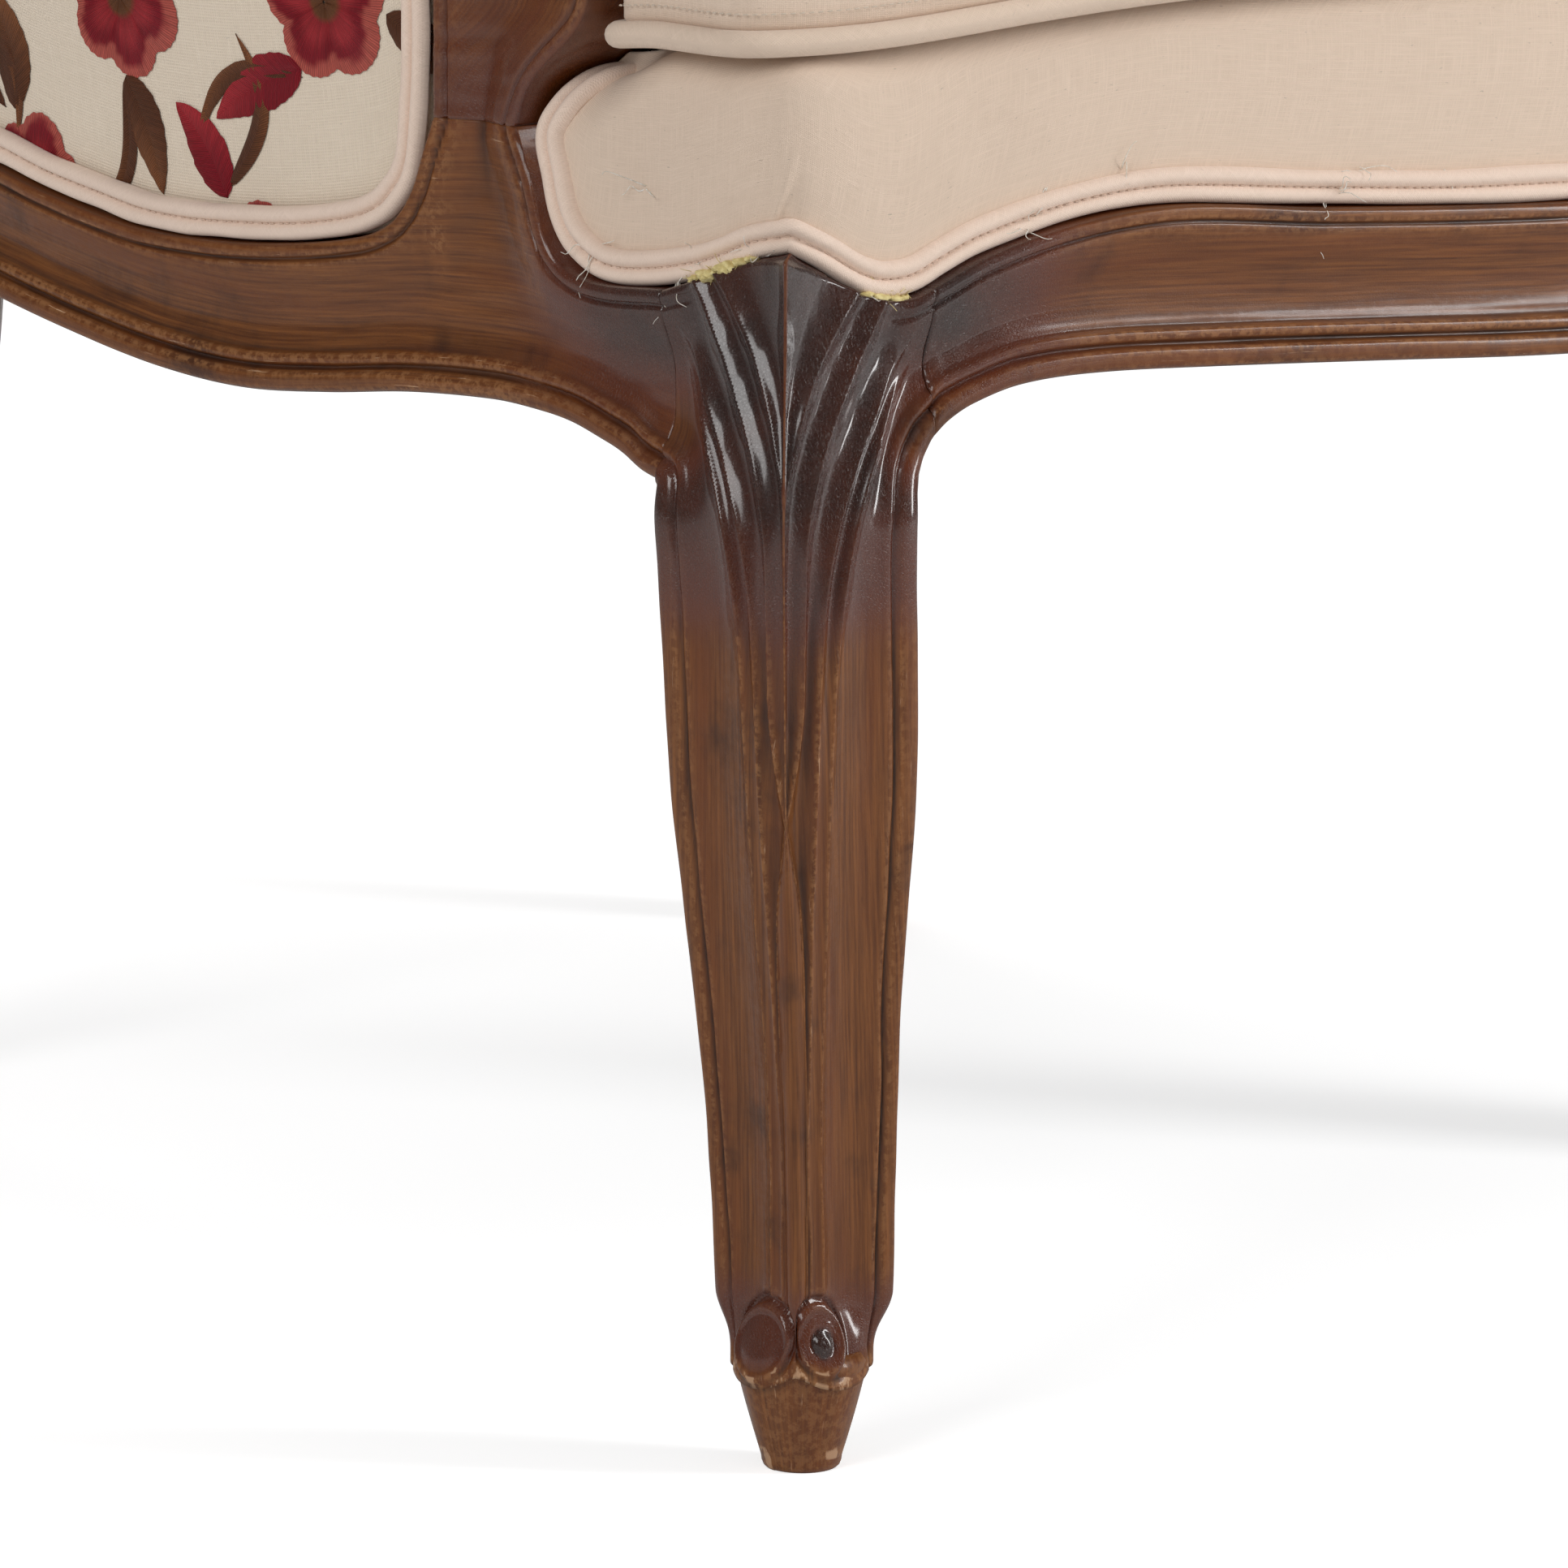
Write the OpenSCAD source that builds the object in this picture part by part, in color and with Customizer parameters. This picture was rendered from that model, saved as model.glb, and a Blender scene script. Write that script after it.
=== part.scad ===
// Upholstered tub chair with a carved and moulded walnut frame in the French rococo
// manner. The front faces -Y, +Z is up, and the origin lies on the floor below
// the middle of the chair. The frame is drawn in wall coordinates: a station t
// along the tub (0 at the left front corner, 1 at the widest place, 2 at the middle
// of the back, 3 and 4 mirrored on the right), a height z, and a distance `off`
// outwards from the tub's wall, which leans out above the seat rails.

/* [Plan] */
// Width between the outer arrises of the two front corners
corner_w = 600; // [570:5:630]
// Width of the tub at its widest station, at seat level
tub_w = 650; // [630:5:680]
// Depth from the front corners back to the widest station
side_run = 305; // [290:5:325]
// Depth of the rounded back behind the widest station
back_run = 300; // [285:5:320]
// Forward bow of the front rail
front_bow = 30; // [15:1:40]
// Distance from the front corners back to the origin
corner_to_centre = 327; // [315:1:340]

/* [Heights] */
// Underside of the side rail at its arch behind the front leg
arch_z = 277; // [270:1:284]
// Height of the show wood of the rails
show_h = 39; // [34:1:42]
// Top of the rails, where the hessian of the seat is tacked
ledge_z = 345; // [340:1:350]
// Top of the sprung deck
deck_z = 369; // [367:1:373]
// Height of the loose cushion's border
cushion_h = 104; // [92:2:116]
// Top of the arms at the front
arm_z = 642; // [625:1:660]
// Top of the crest rail at the middle of the back
crest_z = 915; // [890:5:940]

/* [Frame] */
// Side of the square leg block
block_w = 48; // [44:1:52]
// Side of the leg above the scroll foot
ankle_w = 31.5; // [28:0.5:36]
// How far the front knee stands out past its corner, along the diagonal
knee_out = 6; // [3:0.5:9]
// How far the ankle draws in, along the diagonal
ankle_in = 28; // [22:1:34]
// Height of the plain peg below the scroll foot
peg_h = 30; // [26:1:33]
// Diameter of the peg at its top
peg_top_d = 34; // [30:1:37]
// Diameter of the peg where it rests on the floor
peg_d = 21; // [16:0.5:26]
// Diameter of the back leg's toe where it rests on the floor
toe_d = 22; // [18:1:25]
// How far the back legs splay out at the floor
splay = 44; // [30:2:56]
// Thickness of the seat rails
rail_t = 34; // [31:1:36]
// Depth of the rebate that takes the covers, above the show wood
rebate = 10; // [8:0.5:11]
// Thickness of the lip that hides the webbing
lip_t = 14; // [12:1:16]
// Thickness of the arm posts, across the tub's wall
post_t = 36; // [32:1:38]
// Width of the back stiles
stile_w = 44; // [40:1:48]
// Height of the arm and crest rails
top_h = 34; // [31:1:38]
// Lean of the arms from upright, in degrees
arm_lean = 3.5; // [2:0.5:5]
// Lean of the back from upright, in degrees
back_lean = 8; // [6:0.5:10]

/* [Joinery] */
// Diameter of the frame's dowels
dowel_d = 10; // [8:1:10]
// Length of the frame's dowels
dowel_l = 52; // [44:2:56]
// Radial clearance round the dowels and screws
dowel_gap = 0.1; // [0.05:0.05:0.2]
// Reach of the front corner blocks along each rail
corner_block_l = 64; // [56:2:74]
// Shank diameter of the corner block screws
screw_d = 4.5; // [4:0.5:5]

/* [Upholstery] */
// Width of the double welt
welt_w = 9; // [8:0.5:10]
// Thickness of the double welt
welt_t = 5; // [4:0.5:6]
// Thickness of the covers with their lining
cover_t = 3; // [2.5:0.5:3.5]
// How far the outside covers stand out at their middle
cover_swell = 6; // [2:0.5:8]
// Thickness of the tub's stuffing beside the arm posts
arm_stuffing = 22; // [18:1:26]
// Thickness of the tub's stuffing at the middle of the back
back_stuffing = 36; // [30:1:42]
// Height of the arm pads over the arm rails
pad_h = 20; // [16:1:24]
// Crown of the cushion above its border, at each face
cushion_crown = 10; // [5:1:14]
// Diameter of the cushion's self piping
piping_d = 7; // [6:0.5:8]
// Wire diameter of the springs
spring_wire = 3.4; // [3:0.2:4]
// Turns of each spring
spring_turns = 3; // [3:1:4]
// Width of the jute webbing
webbing_w = 50; // [44:2:56]

/* [Hidden] */

walnut = [0.36, 0.18, 0.09];
beech = [0.72, 0.56, 0.38];
linen = [0.83, 0.75, 0.66];
cream = [0.86, 0.79, 0.70];
crewel = [0.66, 0.42, 0.34];
jute = [0.62, 0.50, 0.34];
hair = [0.80, 0.76, 0.62];
steel = [0.62, 0.62, 0.60];
cambric = [0.10, 0.10, 0.11];

gap = 0.3;                      // between pieces that only lie against each other
fine = 0.01;                    // overrun of a cut past a face
per_station = 18;               // rings of a long piece in one unit of t
corner_y = -corner_to_centre;
widest_y = corner_y + side_run;
half_corner = corner_w / 2;
half_tub = tub_w / 2;
back_arc = PI / 4 * (half_tub + back_run);  // length of the wall from t = 1 to t = 2

// Named places along the side, as shares of its run from the front corner, and stations
post_share = 0.4295;            // back edge of the arm post
arm_share = 0.3148;             // front end of the arm rail
inside_share = 0.341;           // front edge of the tub's inside cover
deck_side_end = 0.3148 * side_run;  // where the deck's cloth ends on the side
block_t1 = block_w / side_run;
pad_from = 10 / per_station;
pad_to = 1;
stile_at = 1.6;
stile_t0 = stile_at - stile_w / 2 / back_arc;
stile_t1 = stile_at + stile_w / 2 / back_arc;

// Depths of the layers, all inwards from the wall
post_inset = 6;
frame_in = post_inset + post_t;
webbing_t = 2;
lining_in = frame_in + webbing_t + 4 * gap;
tuck = 1.5;                     // from the show wood to the cut edge of a cover
cover_face = cover_t + gap - rebate;  // outer face of a cover in its rebate, off the wall
tack_in = rebate + tuck;
tack_h = 26;
sheet_t = 1.2;
corner_r = 22;                  // of the deck's cloth round the front corners
rail_h = 57;
web_z = ledge_z - rail_h;       // underside of the rails, where the webbing is tacked

// Smooth curve through [place, value] rows, held level past its ends
function rise(T, i) = let (a = max(0, i - 1), b = min(len(T) - 1, i + 1))
    (T[b][1] - T[a][1]) / (T[b][0] - T[a][0]);
function row_of(T, x, i = 0) = i >= len(T) - 2 || x < T[i + 1][0] ? i : row_of(T, x, i + 1);
function at(T, x) =
    x <= T[0][0] ? T[0][1] :
    x >= T[len(T) - 1][0] ? T[len(T) - 1][1] :
    let (i = row_of(T, x), h = T[i + 1][0] - T[i][0], u = (x - T[i][0]) / h)
        (2 * u ^ 3 - 3 * u ^ 2 + 1) * T[i][1] + (u ^ 3 - 2 * u ^ 2 + u) * h * rise(T, i)
        + (3 * u ^ 2 - 2 * u ^ 3) * T[i + 1][1] + (u ^ 3 - u ^ 2) * h * rise(T, i + 1);
function ease(u) = let (c = max(0, min(1, u))) c * c * (3 - 2 * c);
function mix(a, b, u) = a + (b - a) * u;
function unit(v) = v / norm(v);
function steps(a, b, n) = [for (i = [0 : n]) a + (b - a) * i / n];
function reversed(v) = [for (i = [len(v) - 1 : -1 : 0]) v[i]];

// Places from a to b with every common ring between them, so that neighbours agree
function stations(a, b) = concat([a],
    [for (k = [floor(a * per_station) + 1 : ceil(b * per_station) - 1]) k / per_station], [b]);

// Plan of the wall and its outward direction at a station of the left half
function half_plan(t) = t <= 1
    ? [-half_corner - (half_tub - half_corner) * sin(90 * t) ^ 2, corner_y + side_run * t]
    : [-half_tub * sin(90 * (2 - t)), widest_y + back_run * cos(90 * (2 - t))];
function half_out(t) = t <= 1 ? [-1, 0]
    : unit([-back_run * sin(90 * (2 - t)), half_tub * cos(90 * (2 - t))]);
function half_t(t) = min(t, 4 - t);
function plan(t) = let (p = half_plan(half_t(t))) t > 2 ? [-p[0], p[1]] : p;
function out(t) = let (d = half_out(half_t(t))) t > 2 ? [-d[0], d[1]] : d;
function lean(t) = mix(arm_lean, back_lean, ease((half_t(t) - 0.6) / 1.4));
function wall(t, z, off) =
    let (q = plan(t) + out(t) * (off + max(0, z - ledge_z) * tan(lean(t)))) [q[0], q[1], z];
function front_y(x) = corner_y - front_bow * cos(90 * x / half_corner) ^ 2;
function front(x, z, off) = [x, front_y(x) - off, z];

// Edges of the show wood, as shares of its height above the side rail's arch
side_low_shares = [[0.157, -0.38], [0.21, -0.18], [0.27, -0.05], [0.33, -0.03], [0.45, -0.10],
    [0.57, -0.18], [0.67, -0.23], [0.77, -0.18], [0.84, -0.13], [0.91, -0.03], [0.99, 0.10],
    [1.07, 0.23], [1.38, 0.23], [1.54, 0.05], [1.68, 0.05], [1.82, 0.2], [2, 0.16]];
side_line_shares = [[0, 0.87], [0.157, 0.87], [0.24, 0.87], [0.28, 0.97], [0.30, 1.15],
    [0.312, 1.45], [0.33, 1.7], [0.425, 1.7], [0.436, 1.6], [0.449, 1.31], [0.475, 1.03], [0.525, 0.87],
    [0.66, 0.74], [0.79, 0.74], [0.866, 0.82], [0.925, 0.9], [1.03, 1.05], [2, 1.05]];
front_low_shares = [[0.16, -0.18], [0.183, -0.08], [0.22, 0.05], [0.263, 0.15], [0.313, 0.18],
    [0.363, 0.2], [0.44, 0.18], [0.52, 0.13], [0.62, 0.08], [0.73, 0.03], [0.82, 0], [1, -0.03]];
front_line_shares = [[0, 1.11], [0.04, 1.0], [0.077, 0.87], [0.107, 0.79], [0.137, 0.77],
    [0.167, 0.85], [0.22, 1.01], [0.313, 1.17], [0.413, 1.23], [0.57, 1.13], [0.82, 1.03], [1, 1]];
corner_line_shares = [[-0.16, 0.87], [-0.093, 0.97], [-0.05, 1.06], [0, 1.11]];
function side_low(t) = arch_z + show_h * at(side_low_shares, half_t(t));
function side_line(t) = arch_z + show_h * at(side_line_shares, half_t(t));
function front_low(x) = arch_z + show_h * at(front_low_shares, 1 - abs(x) / half_corner);
function front_line(x) = arch_z + show_h * at(front_line_shares, 1 - abs(x) / half_corner);
// The same line by the distance c from the corner, negative along the side
function deck_line(c) = c >= 0 ? front_line(half_corner - c)
    : c > -0.157 * side_run ? arch_z + show_h * at(corner_line_shares, c / half_corner)
    : side_line(-c / side_run);

// Middle of the arm and crest rails, as shares of the rise from the arms to the crest
top_shares = [[0.3, -0.11], [0.45, -0.06], [0.8, -0.04], [1.05, 0.05], [1.3, 0.38],
    [1.5, 0.70], [1.7, 0.87], [2, 0.938]];
function top_mid(t) = mix(arm_z, crest_z, at(top_shares, half_t(t)));
slope_dt = 0.02;                // half the run of t over which a slope is measured
function top_slope(t) = (top_mid(t + slope_dt) - top_mid(t - slope_dt)) / (2 * slope_dt * back_arc);
function top_half(t) = top_h / 2 * sqrt(1 + top_slope(t) ^ 2);

// Closed solid through rings with equal counts of points, each quad between them
// cut along its shorter diagonal. Its ends are capped, or joined to each other when
// `loop` is set. With `strip`, a cap is cut into quads between the two long sides of
// its ring, as the section of a sheet needs.
function volume(p, f) = f == [] ? 0 : let (t = [for (g = f, i = [1 : len(g) - 2])
    p[g[0]] * cross(p[g[i]], p[g[i + 1]])]) t * [for (x = t) 1];
module solid(points, faces) {
    polyhedron(points, volume(points, faces) > 0 ? [for (f = faces) reversed(f)] : faces,
        convexity = 6);
}
module skin(rings, loop = false, strip = false) {
    n = len(rings[0]);
    m = len(rings);
    e = (m - 1) * n;
    caps = loop ? [] : strip
        ? [for (i = [0 : n / 2 - 2]) let (a = i, b = i + 1, c = n - 2 - i, d = n - 1 - i)
            each [[a, c, b], [a, d, c], [e + a, e + b, e + c], [e + a, e + c, e + d]]]
        : [[for (i = [n - 1 : -1 : 0]) i], [for (i = [0 : n - 1]) e + i]];
    pts = [for (r = rings) each r];
    solid(pts, concat(
        [for (j = [0 : m - (loop ? 1 : 2)], i = [0 : n - 1])
            let (a = j * n + i, b = j * n + (i + 1) % n, c = (j + 1) % m * n + (i + 1) % n,
                 d = (j + 1) % m * n + i)
                each norm(pts[a] - pts[c]) <= norm(pts[b] - pts[d])
                    ? [[a, b, c], [a, c, d]] : [[a, b, d], [b, c, d]]],
        caps));
}
module right() {
    mirror([1, 0, 0]) children();
}

// Outline of the seat, drawn in by a distance
function outline(inset) = concat(
    [for (t = stations(inset / side_run, 4 - inset / side_run))
        plan(t) - out(t) * inset],
    [for (x = steps(half_corner - inset, inset - half_corner, 16))
        if (abs(x) < half_corner - inset - fine) [x, front_y(x) + inset]]);
function plan_box(ts, o0, o1) = concat([for (t = ts) plan(t) + out(t) * o1],
    reversed([for (t = ts) plan(t) + out(t) * o0]));
module blocks_2d(grow) {
    for (s = [-1, 1])
        translate([s * half_corner, corner_y])
            square(2 * (block_w + grow), center = true);
}
module stiles_2d(grow) {
    d = grow / back_arc;
    for (s = [0, 1])
        mirror([s, 0])
            polygon(plan_box([stile_t0 - d, stile_at, stile_t1 + d], -frame_in - grow, stile_w));
}
module posts_2d(grow) {
    d = grow / side_run;
    for (s = [0, 1])
        mirror([s, 0])
            polygon(plan_box([post_edge(deck_z) - d, post_share + d], -frame_in - grow, stile_w));
}

// Front leg: how far its arris lies out along each face, and its side, by height
sweep_shares = [[0.108, 1], [0.217, 0.97], [0.36, 0.72], [0.54, 0.25], [0.65, 0.05], [0.72, 0]];
knee_shares = [[0.5, 0], [0.72, 0.5], [0.9, 1], [1.0, 0.7], [1.08, 0.33], [1.245, 0]];
taper_shares = [[0.112, -0.28], [0.134, -0.13], [0.152, -0.03], [0.184, 0.01], [0.235, 0.04],
    [0.307, 0.09], [0.386, 0.21], [0.44, 0.30], [0.5, 0.43], [0.55, 0.53], [0.61, 0.72],
    [0.7, 0.79], [0.75, 0.81], [0.84, 0.86], [0.9, 1.0], [0.94, 1.1]];
flute_shares = [[0.112, 0.3], [0.2, 0.9], [0.6, 1], [0.85, 1], [1.0, 0.6], [1.12, 0.2]];
leg_rows_shares = [0.122, 0.138, 0.152, 0.184, 0.235, 0.307, 0.386, 0.44, 0.5, 0.55, 0.61,
    0.7, 0.78, 0.84, 0.88, 0.915, 0.94, 1.0, 1.06];
neck_step = gap;                // rise of the shoulder that carries the cloth's edge
flute_d = 2.4;                  // depth of the coves of the leg's two outer faces
// Across one outer face: share of its width and share of the cove's depth
face_shares = [[0.13, 0], [0.17, 0.7], [0.5, 1], [0.84, 0.7], [0.9, 0], [1, 0]];
function leg_out(z) = (knee_out * at(knee_shares, z / arch_z)
    - ankle_in * at(sweep_shares, z / arch_z)) / sqrt(2);
function leg_w(z) = let (w = mix(ankle_w, block_w, at(taper_shares, z / arch_z)))
    z >= 0.94 * arch_z ? block_w + leg_out(z) : w;
function leg_ring(z, level) =
    let (k = leg_out(z), w = leg_w(z), d = flute_d * at(flute_shares, z / arch_z),
         c0 = [-half_corner - k, corner_y - k],
         one = [for (f = face_shares) [f[0] * w, f[1] * d]],
         ring = concat([[0, 0]], one, [[w, w / 2], [w, w], [w / 2, w]],
            reversed([for (p = one) [p[1], p[0]]])))
    [for (p = ring) let (c = p[0] >= p[1] ? p[0] - k : k - p[1])
        [c0[0] + p[0], c0[1] + p[1], level ? z : deck_line(max(-block_w, min(block_w, c)))]];
// The scroll foot ends in a round collar on the peg
function collar_ring() = [for (p = leg_ring(leg_rows_shares[0] * arch_z, true))
    let (d = (peg_top_d / 2 + collar_out) * unit([p[0], p[1]] - foot_xy))
    [foot_xy[0] + d[0], foot_xy[1] + d[1], peg_h]];
// The neck above the show wood is set back and rounded, for the cloth. Its foot
// follows the show line, by the distance round the corner.
function neck_round(e) = e[0] < corner_r && e[1] < corner_r;
function neck_line(e) = deck_line(max(-block_w, min(block_w, neck_round(e)
    ? corner_r * (135 + atan2(e[1] - corner_r, e[0] - corner_r)) / 45
    : e[0] >= e[1] ? e[0] : -e[1])));
function neck_point(p, z) =
    let (q = [p[0] + half_corner, p[1] - corner_y], c = [corner_r, corner_r],
         e = [for (v = q) max(rebate, rebate + v * (1 - rebate / block_w))],
         r = neck_round(e) ? c + (corner_r - rebate) * unit(e - c) : e)
    [r[0] - half_corner, r[1] + corner_y, z == 0 ? neck_line(e) + neck_step : z];
module front_leg() {
    show = leg_ring(deck_line(-block_w), false);
    color(walnut)
        difference() {
            union() {
                skin(concat([collar_ring()], [for (s = leg_rows_shares) leg_ring(s * arch_z, true)],
                    [show],
                    [[for (p = show) neck_point(p, 0)]], [[for (p = show) neck_point(p, ledge_z)]]));
                translate([foot_xy[0], foot_xy[1], 0])
                    cylinder(h = peg_h, d1 = peg_d, d2 = peg_top_d, $fn = 48);
            }
            dowels(dowel_gap);
            block_screws(dowel_gap);
        }
}
collar_out = 2;                 // how far the collar stands out past the peg
foot_mid = leg_w(leg_rows_shares[0] * arch_z) / 2 - leg_out(leg_rows_shares[0] * arch_z);
foot_xy = [-half_corner + foot_mid, corner_y + foot_mid];

// Back leg and stile, one timber: it leans with the wall and splays below the rail
toe_h = 14;
back_rows_shares = [0.05, 0.15, 0.35, 0.55, 0.72, 0.86, 0.95, 1];
toe_w = 25;                     // side of the back leg above its toe
toe_draw = 3;                   // how far the toe's outer face is drawn back
chamfer = 3;
function splay_off(z) = splay * ((arch_z - min(arch_z, z)) / arch_z) ^ 1.7;
function back_ring(z) =
    let (u = ease(z / arch_z * 1.1), w = mix(toe_w, stile_w, u) / 2 / back_arc,
         o = splay_off(z) - (1 - u) * toe_draw, d = mix(toe_w, frame_in, u), e = chamfer / back_arc)
    [wall(stile_at, z, o - d), wall(stile_at - w, z, o - d), wall(stile_at - w, z, o - chamfer),
     wall(stile_at - w + e, z, o), wall(stile_at + w - e, z, o), wall(stile_at + w, z, o - chamfer),
     wall(stile_at + w, z, o - d)];
stile_rise_shares = [0.12, 0.4, 0.7, 0.93];
function stile_top_ring() =
    let (e = chamfer / back_arc,
        ts = [[stile_at, -frame_in], [stile_t0, -frame_in], [stile_t0, -chamfer],
            [stile_t0 + e, 0], [stile_t1 - e, 0], [stile_t1, -chamfer], [stile_t1, -frame_in]])
    [for (q = ts) wall(q[0], top_mid(q[0]) + top_half(q[0]), q[1])];
module back_leg() {
    toe = wall(stile_at, toe_h, splay_off(toe_h) - toe_draw * (1 - ease(toe_h / arch_z)) - toe_w / 2);
    color(walnut)
        difference() {
            union() {
                skin(concat([for (s = back_rows_shares) back_ring(s * arch_z)],
                    [back_ring(ledge_z)],
                    [for (s = stile_rise_shares)
                        back_ring(mix(ledge_z, top_mid(stile_t0) - top_half(stile_t0), s))],
                    [stile_top_ring()]));
                translate([toe[0], toe[1], 0])
                    cylinder(h = toe_h + fine, d1 = toe_d, d2 = toe_w - fine, $fn = 48);
            }
            dowels(dowel_gap);
            block_screws(dowel_gap);
        }
}

// Section of a seat rail: bead, cove and fillet outside, a rebate for the covers
// above the show line, and a lip below that hides the webbing
bead_h = 6;
bead_r = 2;
cove_d = 6;
fillet_h = 3;
fillet_in = 1;
function rail_section(low, line) = let (l = min(line, ledge_z - fillet_in))
    [[-bead_r, low], [0, low + bead_r], [0, low + bead_h], [-cove_d, low + bead_h + bead_r],
     [-cove_d * 0.9, mix(low, l, 0.55)], [-cove_d * 0.35, mix(low, l, 0.82)], [0, l - fillet_h],
     [-fillet_in, l], [-rebate, l], [-rebate, ledge_z], [-rail_t, ledge_z], [-rail_t, web_z],
     [-lip_t, web_z], [-lip_t, low + bead_r]];
module side_rail() {
    color(walnut)
        difference() {
            skin([for (t = stations(block_t1, stile_t0))
                [for (q = rail_section(side_low(t), side_line(t))) wall(t, q[1], q[0])]]);
            dowels(dowel_gap);
            tacks(dowel_gap);
        }
}
module back_rail() {
    color(walnut)
        difference() {
            skin([for (t = stations(stile_t1, 4 - stile_t1))
                [for (q = rail_section(side_low(t), side_line(t))) wall(t, q[1], q[0])]]);
            dowels(dowel_gap);
            right() dowels(dowel_gap);
            tacks(dowel_gap);
            right() tacks(dowel_gap);
        }
}
module front_rail() {
    b = half_corner - block_w;
    color(walnut)
        difference() {
            skin([for (x = steps(-b, b, 26))
                [for (q = rail_section(front_low(x), front_line(x))) front(x, q[1], q[0])]]);
            dowels(dowel_gap);
            right() dowels(dowel_gap);
            tacks(dowel_gap);
            right() tacks(dowel_gap);
        }
}

// Arm post: its front edge swings forward beside the cushion, as shares of the
// side's run by shares of the height from the ledge to the arm
post_edge_shares = [[0, 0.333], [0.03, 0.321], [0.05, 0.305], [0.095, 0.256], [0.135, 0.243],
    [0.29, 0.236], [0.46, 0.256], [0.66, 0.31], [0.88, 0.328], [1, 0.328]];
post_rows_shares = [0, 0.03, 0.06, 0.095, 0.135, 0.29, 0.46, 0.66, 0.86];
post_chamfer = 4;
function post_edge(z) = at(post_edge_shares, (z - ledge_z) / (arm_z - ledge_z));
function post_ring(t0, t1, z0, z1) =
    let (e = post_chamfer / side_run, o = -post_inset)
    [wall(t0, z0, -frame_in), wall(t0, z0, o - post_chamfer), wall(t0 + e, mix(z0, z1, 0.1), o),
     wall(t1, z1, o), wall(t1, z1, -frame_in)];
module arm_post() {
    tz = arm_z - ledge_z;
    te = post_edge(arm_z);
    color(walnut)
        difference() {
            skin(concat([for (s = post_rows_shares)
                    post_ring(post_edge(ledge_z + s * tz), post_share, ledge_z + s * tz,
                        ledge_z + s * tz)],
                [post_ring(te, post_share, top_mid(te) - scroll_most * top_half(te) - gap,
                    top_mid(post_share) - scroll_most * top_half(post_share) - gap)]));
            dowels(dowel_gap);
        }
}

// Arm and crest rails: a rounded section that stays upright as it climbs
rail_out = 4;                   // how far the top rails overhang the wall
egg_shares = [[-1, -0.55], [-0.75, -1], [0.6, -1], [0.9, -0.6], [1, 0.1], [0.7, 0.75],
    [0.2, 1], [-0.5, 1], [-1, 0.6]];
function top_ring(t, size) =
    let (mid = (rail_out - frame_in) / 2, hw = (rail_out + frame_in) / 2)
    [for (q = egg_shares) wall(t, top_mid(t) + q[1] * size * top_half(t), mid + q[0] * hw)];
scroll_most = 1.25;             // size of the arm's scroll against the rail behind it
scroll_shares = [[0, 0.45], [0.02, 0.95], [0.06, scroll_most], [0.11, 1.2], [0.16, 1.0]];
function arm_size(t) = max(1, at(scroll_shares, half_t(t) - arm_share));
module arm_rail() {
    color(walnut)
        difference() {
            skin([for (t = concat([for (r = scroll_shares) arm_share + r[0]],
                    stations(arm_share + 0.18, stile_t0)))
                top_ring(t, at(scroll_shares, t - arm_share))]);
            dowels(dowel_gap);
        }
}
module crest_rail() {
    color(walnut)
        difference() {
            skin([for (t = stations(stile_t1, 4 - stile_t1)) top_ring(t, 1)]);
            dowels(dowel_gap);
            right() dowels(dowel_gap);
        }
}

// Dowels of the left half: middle and direction of each
dowel_off = -22;
low_z = mix(web_z, ledge_z, 0.16);
mid_z = mix(web_z, ledge_z, 0.37);
high_z = mix(web_z, ledge_z, 0.58);
over_z = mix(web_z, ledge_z, 0.79);
function along(t) = let (d = out(t)) [d[1], -d[0], 0];
function ramp(t) = unit(along(t) + [0, 0, top_slope(t)]);
function post_mid(z) = (post_edge(z) + post_share) / 2;
function dowel_places() = concat(
    [for (z = [low_z, high_z]) [front(-half_corner + block_w, z, dowel_off), [1, 0, 0]]],
    [for (z = [mid_z, over_z]) [wall(block_t1, z, dowel_off), [0, 1, 0]]],
    [for (z = [mid_z, over_z]) [wall(stile_t0, z, dowel_off), along(stile_t0)]],
    [for (z = [low_z, high_z]) [wall(stile_t1, z, dowel_off), along(stile_t1)]],
    [[wall(post_mid(ledge_z), ledge_z, -(post_inset + frame_in) / 2), [0, 0, 1]],
     [wall(post_mid(arm_z), top_mid(post_mid(arm_z)) - top_half(post_mid(arm_z)) - dowel_l / 6,
        -(post_inset + frame_in) / 2), [0, 0, 1]],
     [wall(stile_t0, top_mid(stile_t0), -frame_in * 0.7), ramp(stile_t0)],
     [wall(stile_t1, top_mid(stile_t1), -frame_in * 0.25), ramp(stile_t1)]]);
module dowels(grow) {
    for (p = dowel_places())
        translate(p[0])
            rotate([0, acos(p[1][2]), atan2(p[1][1], p[1][0])])
                cylinder(h = dowel_l + 2 * grow, r = dowel_d / 2 + grow, center = true, $fn = 32);
}
module frame_dowels() {
    color(beech)
        for (s = [0, 1])
            mirror([s, 0, 0]) dowels(0);
}

// Corner blocks inside the rails, notched round the legs
corner_block_h = 28;
corner_block_up = 16;           // from the rails' underside to the blocks'
corner_block_z = web_z + corner_block_up;
stile_block_t = 22;
module front_block_2d() {
    r = block_w + corner_block_l;
    difference() {
        intersection() {
            polygon(outline(rail_t + gap));
            translate([-half_corner, corner_y])
                polygon([[0, 0], [r, 0], [0, r]]);
        }
        blocks_2d(gap);
    }
}
module stile_block_2d() {
    d = corner_block_l / back_arc;
    o = frame_in + gap;
    difference() {
        polygon(plan_box(stations(stile_at - d, stile_at + d), -o - stile_block_t, -rail_t - 2 * gap));
        stiles_2d(gap);
    }
}
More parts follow.
